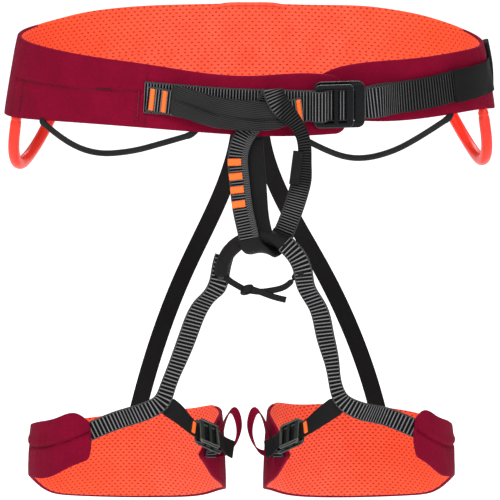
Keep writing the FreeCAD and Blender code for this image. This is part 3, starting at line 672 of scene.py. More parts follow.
# The belt seen from above: its half axes, how much they lose per millimetre of height, and how far its
# under end lies inside the end that covers it.
WAIST = {"a": 187.8, "b": 102.0, "flare_a": 0.1705, "flare_b": 0.11, "step": 9.5}
BELT_PAD = (6.9, 2.6)
LEG_PAD = (5.8, 2.2)


def waist_angle(x, back=False):
    """The angle round the belt from the front centre toward -X, at one x of the front or back half."""
    w = math.degrees(math.asin(max(-1, min(1, -x / WAIST["a"]))))
    return 180 - w if back else w


def right_angle(x):
    """The same for the front right half, where the belt's under end comes round."""
    return 360 + waist_angle(x)


def waist_place(w, z, inset):
    """A point of the belt at an angle and height, moved inward."""
    a = WAIST["a"] - WAIST["flare_a"] * z
    b = WAIST["b"] - WAIST["flare_b"] * z - (WAIST["step"] if w > 270 else 0)
    r = math.radians(w)
    normal = unit(vec(-math.sin(r) / a, -math.cos(r) / b, 0))
    return vec(-a * math.sin(r), -b * math.cos(r), z) - normal * inset


BACK_TOP = ((-157, 33), (-137, 35), (-118, 35.9), (-78, 36.2), (-39, 35.7), (0, 35.8), (49, 35.4),
            (98, 36.5), (118, 35.5), (137, 34), (157, 31.2), (177, 28))


def waist_edges():
    """The belt's bottom and top heights all round, and the angles of its two ends."""
    top = [(waist_angle(x), z) for x, z in
           ((70, 21), (50, 23.5), (0, 22.3), (-81, 29), (-111, 31), (-167, 33.7))]
    top += [(90, 33.4), (270, 27.2)]
    top += [(waist_angle(x, True), z) for x, z in BACK_TOP]
    top += [(right_angle(x), z) for x, z in ((162, 28.9), (125, 28.5), (81, 27.3), (60, 22), (43, 12))]
    low = [(waist_angle(x), z) for x, z in
           ((70, -24.6), (16, -25.3), (-17, -23.8), (-84, -20.8), (-146, -22), (-180, -26.6))]
    low += [(90, -29.6), (270, -25.4)]
    low += [(waist_angle(x, True), z) for x, z in
            ((-178, -32.5), (-150, -37), (-80, -46), (0, -50), (80, -46), (150, -35), (178, -28.5))]
    low += [(right_angle(x), z) for x, z in ((178, -20.1), (135, -19.3), (89, -17.9), (43, -10))]
    top, low = heights(top), heights(low)
    first, last = waist_angle(77), right_angle(38)

    def edges(w):
        front = 1 - window(w, 80, 110, 250, 280)
        z0, z1 = low(w), top(w) - 1.6 * front
        middle, half = (z0 + z1) / 2 - 1, (z1 - z0) / 2
        full = rounding(w - first, 4, 2.2, 0.04) * rounding(last - w, 3, 2.2, 0.06)
        return middle + full * (1 - half), middle + full * (1 + half)
    return edges, first, last


def height_at(edges, w, t):
    low, high = edges(w)
    return low + (high - low) * t


def ditch(x, centre, wide, deep):
    return deep * math.exp(-((x - centre) / wide) ** 2)


SEAM_FRONT = waist_angle(-88)
SEAM_SIDE = waist_angle(-182)
PANEL_SEAM = waist_angle(-81)
POCKETS = [waist_angle(-183), waist_angle(-177), waist_angle(-86), waist_angle(-88.5)]
RIGHT_POCKETS = [right_angle(183), right_angle(177)]


def seam_height(w):
    """The stitched line along the left panel falls from the front toward the side."""
    return 6.8 - 4.2 * (w - SEAM_FRONT) / (SEAM_SIDE - SEAM_FRONT)


def make_belt():
    edges, first, last = waist_edges()

    def groove(w, t):
        z = height_at(edges, w, t)
        dent = ditch(w, PANEL_SEAM, 0.4, 1.2)
        if SEAM_FRONT - 2 < w < SEAM_SIDE + 2:
            dent += ditch(z, seam_height(w), 1.0, 1.3)
            if z < seam_height(w):
                dent += sum(ditch(w, p, 0.35, 0.9) for p in POCKETS)
        if w > 270:
            dent += sum(ditch(w, p, 0.4, 0.4) for p in RIGHT_POCKETS)
        crease = 0.22 * wobble(w * 0.35 + z * 0.05, 2.0) + 0.1 * wobble(w * 1.3, 5.0)
        return dent + crease * (1 - abs(2 * t - 1) ** 2)

    section = pad_section(*BELT_PAD, 30, groove)
    body = band_mesh("belt_cover", waist_place, (first, last), 760, section, edges)
    dress(body, "waist_belt", SHELL, "burgundy_fabric", ("belt_shell", "belt_foam", "belt_load_webbing"))

    def rolled(w):
        return window(w, 100, 118, 242, 260)

    def quilt(w, t):
        hem = ditch(height_at(edges, w, t), -11.5, 1.3, 0.9) * window(w, 105, 120, 240, 255)
        return hem + 0.12 * wobble(w * 0.5, 1.0) * (1 - abs(2 * t - 1) ** 2)

    section = lining_section(*BELT_PAD, 22, rolled, quilt)
    lining = band_mesh("belt_lining_panel", waist_place, (first + 1.2, last - 1.2), 500, section, edges)
    dress(lining, "waist_belt", LINING, "orange_mesh", ("belt_lining",))
    make_belt_stitches(edges)
    lip = [waist_place(waist_angle(x, True), 35.6 + rise, 3.4) for x, rise in
           ((-29, -1.0), (-25, 0.4), (-19, 1.3), (0, 1.5), (19, 1.3), (25, 0.4), (29, -1.0))]
    lip = facing(lip, (0, -1, 0.1))
    strap("belt_top_lip", lip, 4.2, 2.2, "waist_belt", LINING, "orange_mesh", crown=0.25)


def sew_on_belt(name, path, pitch, inset, radius, thread=None, share=0.62):
    """Stitches a pitch apart along (angle, height) points on the belt's outer face."""
    spots = []
    for (w0, z0), (w1, z1) in zip(path, path[1:]):
        for k in range(60):
            spots.append(spot_on(waist_place, w0 + (w1 - w0) * k / 60, z0 + (z1 - z0) * k / 60, inset))
    stitches(name, spaced(spots, pitch), "waist_belt", thread or RED_THREAD, "burgundy_fabric", radius, share)


def make_belt_stitches(edges):
    angles = [SEAM_FRONT + (SEAM_SIDE - SEAM_FRONT) / 24 * k for k in range(25)]
    sew_on_belt("belt_seam_stitches", [(w, seam_height(w)) for w in angles], 3.0, 0.3, 0.42)
    tack = [(waist_angle(x), seam_height(waist_angle(x)) + 0.6) for x in (-121, -114, -107)]
    sew_on_belt("belt_seam_tack", tack, 1.7, -0.2, 0.7, share=0.8)
    tack = [(waist_angle(-86.5), z) for z in (7.5, -14)]
    sew_on_belt("belt_pocket_tack", tack, 1.2, -0.1, 0.75, PINK_THREAD, 0.45)
    low, high = edges(PANEL_SEAM)
    sew_on_belt("belt_panel_stitches", [(PANEL_SEAM, low + 2.5), (PANEL_SEAM, high - 2)], 2.6, 0.6, 0.36)
    for i, w in enumerate(POCKETS + RIGHT_POCKETS):
        top = seam_height(w) if w < 180 else height_at(edges, w, 0.55)
        sew_on_belt(f"belt_pocket_stitches_{i}", [(w, edges(w)[0] + 3.0), (w, top)], 2.4, 0.2, 0.40)


# Each leg loop: root and strap are the front strap's way down from the arch, side is -1 on the left, centre
# and half are the middle and half width of the pad's ring, tab is how far outward the pad's front begins,
# buckle how far inward the buckle lies, sag how much lower the back edge hangs, and slim how much the front
# strap narrows where it turns.
LEGS = {
    "left": {"root": [((-20.0, -106.0, -120.5), (0.9, 0, -0.4)), ((-21.6, -107.0, -126), (0.95, 0, -0.2)),
                      ((-23.0, -108.8, -133), (1, 0, -0.1))],
             "side": -1, "centre": -97.0, "half": 77.0, "tab": 29.0, "buckle": 65.0, "sag": 7.0, "slim": 0.16,
             "strap": [(-25.4, -110.5, -143.2), (-35.2, -106, -156.4), (-47.5, -98, -183.8),
                       (-57.3, -91, -211.3), (-63.6, -87.6, -235), (-66.8, -87.2, -253)]},
    "right": {"root": [((27, -114.6, -108.5), (0.7, 0, 0.7)), ((35.5, -115.6, -117.5), (0.85, 0, 0.5)),
                       ((41.0, -114.8, -130), (1, 0, 0.1))],
              "side": 1, "centre": 86.0, "half": 74.6, "tab": 45.0, "buckle": 55.0, "sag": 0.0, "slim": 0.30,
              "strap": [(43.4, -110.5, -143.2), (52.8, -104, -162), (58.5, -97, -186),
                        (64, -91, -210), (68, -87.6, -234), (69.6, -87.2, -252)]},
}
LEG_DEPTH = 72.0
LEG_CENTRE_Y = -5.0
LEG_FLARE = 0.05


def leg_place(leg):
    def place(w, z, inset):
        drop = LEG_FLARE * (z + 300)
        a, b = leg["half"] - drop, LEG_DEPTH - drop
        r = math.radians(w)
        normal = unit(vec(leg["side"] * math.sin(r) / a, -math.cos(r) / b, 0))
        spot = vec(leg["centre"] + leg["side"] * a * math.sin(r), LEG_CENTRE_Y - b * math.cos(r), z)
        return spot - normal * inset
    return place


def leg_edges(leg):
    """A leg pad's bottom and top heights all round, and the angles of its two ends."""
    half, tab = leg["half"], leg["tab"]
    reach = half - tab

    def angle(u, back=False):
        w = math.degrees(math.asin(max(-1, min(1, u / half))))
        return 180 - w if back else w

    def front(rows):
        return [(angle(tab + share * reach), z) for share, z in rows]

    def inner(rows):
        return [(360 + angle(way - half), z) for way, z in rows]

    top = front(((0, -264), (0.23, -257.5), (0.56, -263), (0.86, -271)))
    top += [(90, -280), (270, -270)]
    top += [(angle(u, True), z - leg["sag"] * part) for u, z, part in
            ((45, -284.5, 0.9), (15, -283, 1), (-20, -280.5, 0.7), (-53, -276.5, 0.5), (-70, -269.5, 0.4))]
    top += inner(((8, -278), (17, -292)))
    low = front(((0, -292), (0.31, -299.5), (0.65, -311), (0.82, -315)))
    low += [(90, -320.5), (270, -331)]
    low += [(angle(u, True), z) for u, z in
            ((half - 6, -334), (half - 16, -345), (half - 34, -352), (0, -356.5), (-30, -355),
             (-half + 16, -347), (-half + 5, -339))]
    low += inner(((3.5, -321), (9.4, -311.6), (14.5, -301), (17, -296.5)))
    top, low = heights(top), heights(low)
    first, last = angle(tab), 360 + angle(17 - half)

    def edges(w):
        z0, z1 = low(w), top(w)
        full = (0.55 + 0.45 * rounding(w - first, 2.4)) * (0.5 + 0.5 * rounding(last - w, 3))
        middle, half_height = (z0 + z1) / 2, (z1 - z0) / 2 * full
        return middle - half_height, middle + half_height
    return edges, first, last


def make_leg_pad(name, leg):
    edges, first, last = leg_edges(leg)
    place = leg_place(leg)

    def fold(w):
        reach = leg["half"] * math.sin(math.radians(min(w, 90))) - leg["tab"]
        return -270 - 25.5 * reach / (leg["half"] - leg["tab"])

    def groove(w, t):
        z = height_at(edges, w, t)
        dent = ditch(z, fold(w), 1.1, 2.6) - ditch(z, fold(w) + 3.6, 2.6, 1.1)
        dent *= 1 - float(smoothstep(w, 100, 125))
        crease = 0.25 * wobble(w * 0.4 + z * 0.08, 3.0 + leg["side"]) + 0.15 * wobble(w * 1.1 - z * 0.1, 1.0)
        return dent + crease * (1 - abs(2 * t - 1) ** 2)

    section = pad_section(*LEG_PAD, 26, groove, 0.6)
    body = band_mesh(f"{name}_pad_cover", place, (first, last), 420, section, edges)
    dress(body, name, SHELL, "burgundy_fabric", (f"{name}_pad_shell", f"{name}_pad_foam"))

    def rolled(w):
        return window(w, 95, 115, 245, 265)

    def seam(w, t):
        crease = 0.14 * wobble(w * 0.4, 2.0) * (1 - abs(2 * t - 1) ** 2)
        return ditch(height_at(edges, w, t), -311, 1.4, 0.55) + crease

    section = lining_section(*LEG_PAD, 26, rolled, seam)
    lining = band_mesh(f"{name}_lining_panel", place, (first + 2.0, last - 2.0), 300, section, edges)
    dress(lining, name, LEG_LINING, "orange_mesh", (f"{name}_pad_lining",))
    angles = [first + 2 + (108 - first) * k / 400 for k in range(400)]
    spots = spaced([spot_on(place, w, fold(w) + 1.9, 0.2) for w in angles], 2.6)
    stitches(f"{name}_fold_stitches", spots, name, RED_THREAD, "burgundy_fabric", 0.42)


# ---- waist straps, buckle and tie-in ----

RIBS = {"pitch": 2.4, "rib": 0.14}
TURN = math.radians(8)
BUCKLE_ORIGIN = vec(69.2, -98.5, -1.3)
BUCKLE_X = vec(math.cos(TURN), math.sin(TURN), 0)
BUCKLE_OUT = vec(math.sin(TURN), -math.cos(TURN), 0)


def in_buckle(x, out):
    return (BUCKLE_ORIGIN + BUCKLE_X * x + BUCKLE_OUT * out, (0, 0, 1))


def on_belt(x, z, out, under=False):
    """A station on the belt's front at one x, moved outward."""
    w = right_angle(x) if under else waist_angle(x)
    return (waist_place(w, z, -out), (0, 0.1, 1))


def make_waist_strap():
    route = [on_belt(x, z, 1.2) for x, z in ((-82, 3), (-60, 2.2), (-30, 0.6), (0, -0.6), (20, -1.2))]
    route.append(((38, -104.3, -1.3), (0, 0.08, 1)))
    route += [in_buckle(x, out) for x, out in
              ((-17, 3.3), (-3, 3.3), (7, 3.3), (10.4, 1.7), (12.6, -0.5), (16.5, -1.4), (22, -1.3))]
    route.append(((97, -95.4, -0.6), (0, 0.05, 1)))
    route += [on_belt(x, z, out, True) for x, z, out in
              ((112, -0.4, 5.6), (128, 0.2, 3.8), (148, 2, 3.4), (165, 4, 3.4))]
    strap("waist_strap_webbing", route, 25, 1.5, "waist_belt", WAIST_WEB, replaces=("waist_strap",), **RIBS)
    under = [in_buckle(x, out) for x, out in ((5, -3.0), (12, -3.2), (19, -3.4))]
    under += [on_belt(x, -1, out, True) for x, out in ((98, 4.6), (108, 2.2), (116, 1.3), (124, 1.2))]
    strap("waist_anchor_webbing", under, 25, 1.5, "waist_belt", WAIST_WEB, replaces=("waist_buckle_anchor",),
          **RIBS)
    keeper = [on_belt(x, z, out, True) for x, z, out in
              ((157, 3.0, 5.2), (164, 3.4, 5.2), (176, 3, 3.0), (184, 2.4, 1.6))]
    keeper += [(waist_place(w, z, -1.2), (-0.17, 0, 1)) for w, z in ((276, 2.2), (270, 1.7), (264, 1.2))]
    strap("tail_keeper_band", keeper, 26, 1.2, "waist_belt", KEEPER, "black_elastic", ("tail_keeper",))
    tape = [waist_place(263, z, -out) for z, out in
            ((-11.4, 0.4), (-4, 1.6), (4, 2.6), (13, 2.8), (24.8, 2.4))]
    strap("tail_keeper_tape", facing(tape, (0, 1, 0)), 16, 4.4, "waist_belt", KEEPER, "black_elastic")


TIE_IN = [
    ((-80, -95.6, 2.5), (0, 0.1, 1)),
    ((-70, -98.8, 1.6), (0, 0.1, 1)),
    ((-58, -104.4, 0.4), (0, 0.05, 1)),
    ((-42, -109.0, -2.2), (0, 0, 1)),
    ((-24, -112.8, -5.0), (0, 0, 1)),
    ((0, -113.8, -7.0), (0, 0, 1)),
    ((20, -113.8, -6.6), (0, 0, 1)),
    ((30, -112.0, -5.0), (0, 0, 1)),
    ((36, -109.4, -4.0), (0, 0.05, 1)),
    ((41, -108.0, -3.4), (0, 0.1, 1)),
]


def sleeve_rise(t):
    """The sleeve rides up over the waist webbing at its sewn end."""
    return 2.4 * (1 - float(smoothstep(t, 0.08, 0.42)))


def sleeve_seam(t):
    """The sleeve's stitched line runs from above its middle at the sewn end to below it at the other."""
    return 1.6 - 5.4 * t ** 0.8


def bartacks(name, line, wheres, shift, length, width, body, lift, node):
    """Bartacks at several stations of a line, which together stand for one CAD node."""
    for i, where in enumerate(wheres):
        piece = bartack(f"{name}_{i}", line, line.station(where), shift, length, width, body, lift)
        if i == 0:
            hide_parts(node)


def make_tie_in():
    line = Line(TIE_IN)
    strap("tie_in_webbing", line, 20, 1.9, "waist_belt", TIE_WEB, replaces=("tie_in_strap",), **RIBS)
    place = along_line(line, line.station(1.75), line.station(7.1), sleeve_rise)

    def section(t, angle):
        ends = min(0.35 + 0.65 * math.sqrt(min(1, t / 0.05)), 0.45 + 0.55 * math.sqrt(min(1, (1 - t) / 0.10)))
        half_wide = (12.2 - 1.8 * float(smoothstep(t, 0.7, 1.0))) * (0.8 + 0.2 * ends)
        half_deep = (3.1 + 1.0 * math.sin(math.pi * t)) * ends
        a = half_wide * flatter(math.cos(angle), 0.8)
        b = half_deep * flatter(math.sin(angle), 0.85)
        if b <= 0:
            return a, b, a + 60
        return a, b - ditch(a, sleeve_seam(t), 1.0, 1.5) - 0.22 * wobble(t * 14 + a * 0.3, 4.0), a

    sleeve = swept("padded_tie_in_sleeve", 90, 40, place, section)
    dress(sleeve, "waist_belt", TWILL, "sleeve_fabric", ("tie_in_sleeve",))
    spots = []
    for k in range(34):
        t = 0.03 + 0.9 * k / 33
        point, side, out, s = place(t)
        spots.append((point + side * sleeve_seam(t) + out * (2.9 + math.sin(math.pi * t)), out))
    stitches("sleeve_stitches", spots, "waist_belt", SEAM_THREAD, "sleeve_fabric", 0.75, 0.72)
    bartacks("waist_bartack", line, (0.4, 1.3, 8.4), 0, 17, 3.8, "waist_belt", 1.25, "waist_bartacks")


def plate(name, size, slots, slot_height, thick, corner, matrix, body, material, slot, node, edge=0.5):
    """A stamped frame with rounded corners, upright slots and a rolled edge on every rim."""
    curve = bpy.data.curves.new(name, "CURVE")
    curve.dimensions = "2D"
    curve.fill_mode = "BOTH"

    def rim(x0, x1, y0, y1, r):
        points = []
        centres = ((x1 - r, y1 - r), (x0 + r, y1 - r), (x0 + r, y0 + r), (x1 - r, y0 + r))
        for quarter, (cx, cy) in enumerate(centres):
            for k in range(6):
                angle = math.pi / 2 * (quarter + k / 5)
                points.append((cx + r * math.cos(angle), cy + r * math.sin(angle)))
        spline = curve.splines.new("POLY")
        spline.points.add(len(points) - 1)
        for target, (x, y) in zip(spline.points, points):
            target.co = (x * MM, y * MM, 0, 1)
        spline.use_cyclic_u = True

    hx, hy = size[0] / 2 - edge, size[1] / 2 - edge
    rim(-hx, hx, -hy, hy, corner)
    tall = slot_height / 2 + edge
    for shift, wide in slots:
        rim(shift - wide / 2 - edge, shift + wide / 2 + edge, -tall, tall, 0.8 + edge)
    curve.extrude = (thick / 2 - edge) * MM
    curve.bevel_depth = edge * MM
    curve.bevel_resolution = 2
    flat = bpy.data.objects.new(name + "_outline", curve)
    bpy.context.scene.collection.objects.link(flat)
    bpy.context.view_layer.update()
    mesh = bpy.data.meshes.new_from_object(flat.evaluated_get(bpy.context.evaluated_depsgraph_get()))
    bpy.data.objects.remove(flat)
    mesh.transform(Matrix.Translation((0, 0, thick / 2 * MM)))
    mesh.transform(matrix)
    mesh.materials.clear()
    obj = bpy.data.objects.new(name, mesh)
    bpy.context.scene.collection.objects.link(obj)
    mesh.polygons.foreach_set("use_smooth", [False] * len(mesh.polygons))
    outward(obj)
    return dress(obj, body, material, slot, (node,))


def matrix_of(origin, x, y):
    """A 4 by 4 matrix in metres whose X and Y run along the given directions."""
    x = unit(vec(*x))
    y = vec(*y)
    y = unit(y - x * y.dot(x))
    z = np.cross(x, y)
    rows = [(x[k], y[k], z[k], origin[k] * MM) for k in range(3)]
    return Matrix((*rows, (0, 0, 0, 1)))


def make_buckle_fold():
    """The strap comes over the slider's first bar and dives into its slot."""
    fold = [in_buckle(x, out) for x, out in
            ((-23, 4.9), (-19.5, 7.9), (-15, 8.9), (-12.4, 8.6), (-10.6, 6.6), (-10.2, 4.2))]
    strap("buckle_fold_webbing", fold, 24.5, 1.4, "waist_buckle_slider", WAIST_WEB, **RIBS)


def make_waist_buckle():
    base = matrix_of(BUCKLE_ORIGIN, BUCKLE_X, (0, 0, 1))
    plate("waist_plate", (40, 37), ((-9, 5), (3, 5), (10.7, 2.8)), 27, 2.2, 5, base,
          "waist_belt", BLACK_METAL, "black_aluminium", "waist_buckle_plate")
    front = base @ Matrix.Translation((-4.5 * MM, 0, 4.7 * MM))
    plate("waist_slider", (30, 34), ((-4.5, 8), (6.2, 6.4)), 27, 2.4, 2.4, front,
          "waist_buckle_slider", BLACK_METAL, "black_aluminium", "waist_buckle_slider", 0.7)


# ---- belay loop, arch and lace ----

BELAY = [
    ((7, -113.4, -114.2), (1, 0, 0.05)),
    ((1, -118.2, -109), (1, 0, 0.2)),
    ((-1.5, -118.8, -100), (1, 0, 0.2)),
    ((-5, -118.6, -84), (1, 0, 0.1)),
    ((-8.5, -115.6, -56), (1, 0.1, 0)),
    ((-9, -111.6, -36), (1, 0, -0.1)),
    ((-3, -108.2, -22), (1, 0, 0.6)),
    ((6, -108.0, -10), (1, 0, 0.5)),
    ((13.5, -107.9, 3.6), (1, 0, 0.25)),
    ((17, -113.2, 12.4), (1, 0, 0)),
    ((21.5, -120.4, 5.2), (1, 0, 0.3)),
    ((31, -121.0, -6), (1, 0, 0.8)),
    ((40, -119.6, -20), (1, 0, 0.3)),
    ((42.5, -115.5, -40), (1, 0, 0)),
    ((39.5, -108.5, -62), (1, 0, -0.1)),
    ((33.5, -102.5, -84), (1, 0, -0.2)),
    ((28, -100.4, -99), (1, 0, -0.2)),
    ((22.5, -100.6, -109.6), (1, 0, -0.35)),
    ((14.5, -106, -115.6), (1, 0, -0.3)),
]


def make_belay_loop():
    line = Line(BELAY, True)
    twist = line.station(12.4)

    def narrow(s):
        return 1 - 0.34 * math.exp(-((s - twist) / 26) ** 4)

    strap("belay_loop_webbing", line, 16, 2.8, "belay_loop", BELAY_WEB, replaces=("belay_loop",),
          pitch=2.3, rib=0.15, shape=narrow)
    bartacks("belay_bartack", line, (3.29, 3.68, 4.07, 4.6), -2.6, 10.4, 5.4, "belay_loop", 1.7,
             "belay_bartacks")
    bend = Line(BELAY[16:] + BELAY[:3])
    patch = (bend.station(0.35), bend.station(4.6))
    strap("belay_wear_patch", bend, 17.2, 3.5, "belay_loop", WEAR, span=patch)
    inner = [((3, -104.5, -27), (1, 0, 0.1))]
    inner += facing([(4.5, -107, -45), (6.5, -110, -72), (8.5, -111.5, -92), (11, -111.5, -103)], (1, 0, 0))
    strap("belay_inner_layer", inner, 14, 2.2, "belay_loop", SMOOTH_WEB)
    point, along, side, out = line.frame(line.station(13.36))
    if out[1] > 0:
        out = -out
    tag = facing([point + side * -6 + out * 2.2 + along * a for a in (-15, -5, 5, 15)], side)
    strap("folded_label", tag, 8, 0.8, "belay_loop", LABEL, "label_fabric", ("belay_label",))


ARCH = vec(8.5, -110.0, -135.0)
ARCH_RADIUS = 31


def arch_place(past):
    """Places of a swept tube over the arch's half circle, and past both of its ends by a share of it."""
    def place(t):
        angle = math.pi * (t - past * (1 - 2 * t))
        radial = vec(-math.cos(angle), 0, math.sin(angle))
        return ARCH + radial * ARCH_RADIUS, radial, vec(0, 1, 0), ARCH_RADIUS * angle
    return place


def make_arch():
    """The arch's soft round wear sleeve with its creases, and the webbing inside it, longer at both ends."""
    def round_section(radius, crease):
        def section(t, angle):
            lip = 0.9 + 0.1 * min(1, t / 0.02, (1 - t) / 0.02)
            r = radius * lip * (1 + crease * wobble(t * 26 + 2 * angle, 1.0))
            return r * math.cos(angle), r * math.sin(angle), radius * angle
        return section

    sleeve = swept("arch_sleeve", 120, 28, arch_place(0.0), round_section(5.7, 0.035))
    dress(sleeve, "waist_belt", WEAR, "sleeve_fabric", ("tie_in_arch_protector",))
    core = swept("arch_core", 120, 28, arch_place(0.03), round_section(3.3, 0.0))
    dress(core, "waist_belt", LEG_WEB, "black_webbing", ("tie_in_arch_webbing",))


def make_lace():
    tail = [((1, -114.2, -145), (0, 0.1, 1)), ((9, -114.6, -147.6), (0, 0.1, 1)),
            ((18, -114.6, -151), (0.1, 0, 1)), ((28, -114.4, -153.6), (0.2, 0, 1))]
    strap("lace_tail", tail, 5, 1.2, "waist_belt", WEAR)
    left = [((-21.5, -110.6, -131), (1, 0.2, 0.3)), ((-18.4, -111, -136.6), (0.8, 0.2, 0.8)),
            ((-11, -112, -142), (0.5, 0, 1)), ((-5, -112.6, -145.4), (0.4, 0, 1))]
    strap("lace_start", left, 5, 2, "waist_belt", WEAR, replaces=("tie_in_lace",))
    right = [((0, -112.5, -146.6), (0, 0.3, 1)), ((8, -113, -147.4), (0, 0.3, 1)),
             ((17, -112.8, -146.4), (0, 0.1, 1)), ((27, -112.2, -143.6), (0.2, 0, 1)),
             ((33, -111.4, -138.6), (0.6, 0, 0.8)), ((38, -110.6, -131), (0.9, 0.2, 0.2))]
    strap("lace_run", right, 5, 1.6, "waist_belt", WEAR)
    wrap = [(-2.4 + 3.6 * math.cos(q), -112.5 - 2.6 * math.sin(q), -146 + 2.2 * math.sin(q + 0.6))
            for q in (2 * math.pi * k / 8 for k in range(8))]
    knot = Line(facing(wrap, (0.3, 0.2, 1)), True)
    strap("knot_turn", knot, 5.5, 2.4, "waist_belt", WEAR, replaces=("lace_knot",), crown=0.3)


# ---- back of the belt ----

BACK_EDGE = -50.6
HOOK_HEIGHT = 9.0
ACROSS = (1, 0, 0)


def make_risers():
    tab = facing([(x, 103.5, BACK_EDGE - 4.6) for x in (-17, -6, 6, 17)], (0, 0, 1))
    strap("riser_anchor_tab", tab, 9, 2.6, "waist_belt", WEAR, replaces=("riser_anchor",), crown=0.2)
    for side, name in ((-1, "left"), (1, "right")):
        base = matrix_of((side * 8.5, 105, BACK_EDGE - 9.3 - HOOK_HEIGHT / 2), ACROSS, (0, 0, 1))
        plate(f"{name}_hook_frame", (12, 9), ((0, 7.5),), 1.6, 3, 1.2, base, "waist_belt", BLACK_PLASTIC,
              "black_plastic", f"{name}_riser_hook")
    for name, side, foot in (("left", -1, (-87.5, 63.8, -280.4)), ("right", 1, (100, 62.6, -280.4))):
        top = (side * 8.8, 103.4, BACK_EDGE - 10.2 - HOOK_HEIGHT)
        below = (side * 9.8, 103.2, top[2] - 6)
        middle = (vec(*top) + vec(*foot)) / 2 + vec(side * 2.5, 0, 0)
        end = (foot[0] + side * 3.4, foot[1] - 0.2, foot[2] - 14)
        route = facing((top, below, middle, foot, end), ACROSS)
        riser = strap(f"{name}_riser_elastic", route, 13.5, 1.9, None, ELASTIC, "black_elastic",
                      (f"{name}_riser",))
        upper, lower = (tuple(MM * c for c in p) for p in (below, foot))
        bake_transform(riser)
        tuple(upper)
        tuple(lower)


def make_haul_loop():
    sewn = [waist_place(180, z, -1.1) for z in (16, 2, -12)]
    ribs = {"pitch": 2.3, "rib": 0.12}
    tab = facing(sewn, ACROSS)
    strap("haul_tab", tab, 12, 1.6, "waist_belt", LEG_WEB, replaces=("haul_loop_anchor",), **ribs)
    fold = facing([(0, 105, -8.2), (0, 110, -7.6), (0, 114, -9.4), (0, 110, -11.4), (0, 105, -11.0)], ACROSS)
    strap("haul_fold", fold, 12, 1.4, "waist_belt", LEG_WEB, pitch=2.3, rib=0.1)
    loop = facing([(0, 111.1, -13.2), (0, 110.2, -26), (0, 110.2, -42), (0, 114, -51), (0, 118, -42),
                   (0, 117.4, -26), (0, 113.5, -13.2)], ACROSS)
    strap("haul_loop_webbing", loop, 12, 1.5, "haul_loop", LEG_WEB, replaces=("haul_loop",), **ribs)
    line = Line(facing(sewn[::-1], ACROSS))
    for i, s in enumerate((4, 12, 20)):
        middle = line.frame(s)[0] + vec(0, 1.2, 0)
        tack = facing([middle + vec(x, 0, 0) for x in (-4.5, -1.5, 1.5, 4.5)], (0, 0, 1))
        strap(f"haul_bartack_{i}", tack, 3, 0.8, "waist_belt", ORANGE_THREAD, "orange_thread",
              pitch=0.8, rib=0.12)


# ---- gear loops ----

REAR_LOOPS = {
    "left_rear_gear_loop": [(-183.5, -25, -30.2), (-186, -18, -58), (-180.5, 1, -74),
                            (-166, 34, -61), (-152.5, 62, -43.5)],
    "right_rear_gear_loop": [(183.5, -25, -26.8), (186.4, -18, -55), (182, 1, -71),
                             (169, 34, -58), (155.5, 62, -41.5)],
}
# Each front loop: where its two ends are seen from above, and its height at shares of the way between them.
FRONT_LOOPS = {
    "left_front_gear_loop": (
        (-159.4, -57.5), (-48, -100.8),
        ((0, -26.6), (0.13, -38.6), (0.35, -47), (0.6, -42.5), (0.82, -33.5), (0.99, -26.2))),
    "right_front_gear_loop": (
        (41.5, -99.5), (152, -57.2),
        ((0, -28.4), (0.17, -40.6), (0.38, -49), (0.62, -45.5), (0.84, -34), (1, -23.4))),
}
FRONT_RADIUS = 2.4


def cord_curve(name, points, radius):
    """A round cord on one open NURBS spline."""
    curve = bpy.data.curves.new(name, "CURVE")
    curve.dimensions = "3D"
    curve.bevel_depth = radius * MM
    curve.bevel_resolution = 5
    curve.resolution_u = 16
    curve.use_fill_caps = True
    spline = curve.splines.new("NURBS")
    spline.points.add(len(points) - 1)
    for target, p in zip(spline.points, points):
        target.co = (p[0] * MM, p[1] * MM, p[2] * MM, 1)
    spline.order_u = 3
    spline.use_endpoint_u = True
    obj = bpy.data.objects.new(name, curve)
    bpy.context.scene.collection.objects.link(obj)
    return obj


def inside_belt(p, rise):
    """The point in the middle of the belt's padding above a point on its lower edge."""
    w = math.degrees(math.atan2(-p[0] / WAIST["a"], -p[1] / WAIST["b"])) % 360
    return waist_place(w, p[2] + rise, 5.0)


def loop_root(name, points, radius, material, slot):
    """The sewn-in end of a gear loop: it stays on the belt while the loop swings from its tip."""
    line = Line(facing(points, (0.3, 1, 0)))

    def section(t, angle):
        full = rounding(min(t, 1 - t) * line.length, radius, least=0.02)
        size = radius * full * min(1.0, 0.5 + 0.8 * t)
        return size * math.cos(angle), size * math.sin(angle), 4 * angle

    dress(swept(name, 24, 20, along_line(line, 0, line.length), section), "waist_belt", material, slot)


def make_front_loops():
    """Cord loops; each end leaves the belt's lower edge through a short sewn-in root."""
    for name, (start, end, drops) in FRONT_LOOPS.items():
        first, last = vec(*start, 0), vec(*end, 0)
        route = [first + (last - first) * share + vec(0, 0, z) for share, z in drops]
        for i, (tip, after) in enumerate(((route[0], route[1]), (route[-1], route[-2]))):
            way = unit(after - tip)
            points = [inside_belt(tip - way * 9, 1.0), tip - way * 3 + vec(0, 0.8, 0), tip, tip + way * 1.8]
            loop_root(f"{name}_root_{i}", points, FRONT_RADIUS + 0.25, CORD, "black_cord")
        cord = cord_curve(name + "_cord", route, FRONT_RADIUS)
        dress(cord, name, CORD, "black_cord", (name,))
        length = sum(np.linalg.norm(b - a) for a, b in zip(route, route[1:]))


def moulded_path(corners):
    """The line of a rigid moulded loop: parabolic bends, each from the middle of one side to the next's."""
    path = [corners[0]]
    for a, b, c in zip(corners, corners[1:], corners[2:]):
        p, q = (a + b) / 2, (b + c) / 2
        for k in range(12):
            t = k / 12
            path.append((1 - t) ** 2 * p + 2 * t * (1 - t) * b + t * t * q)
    return path + [(corners[-2] + corners[-1]) / 2, corners[-1]]


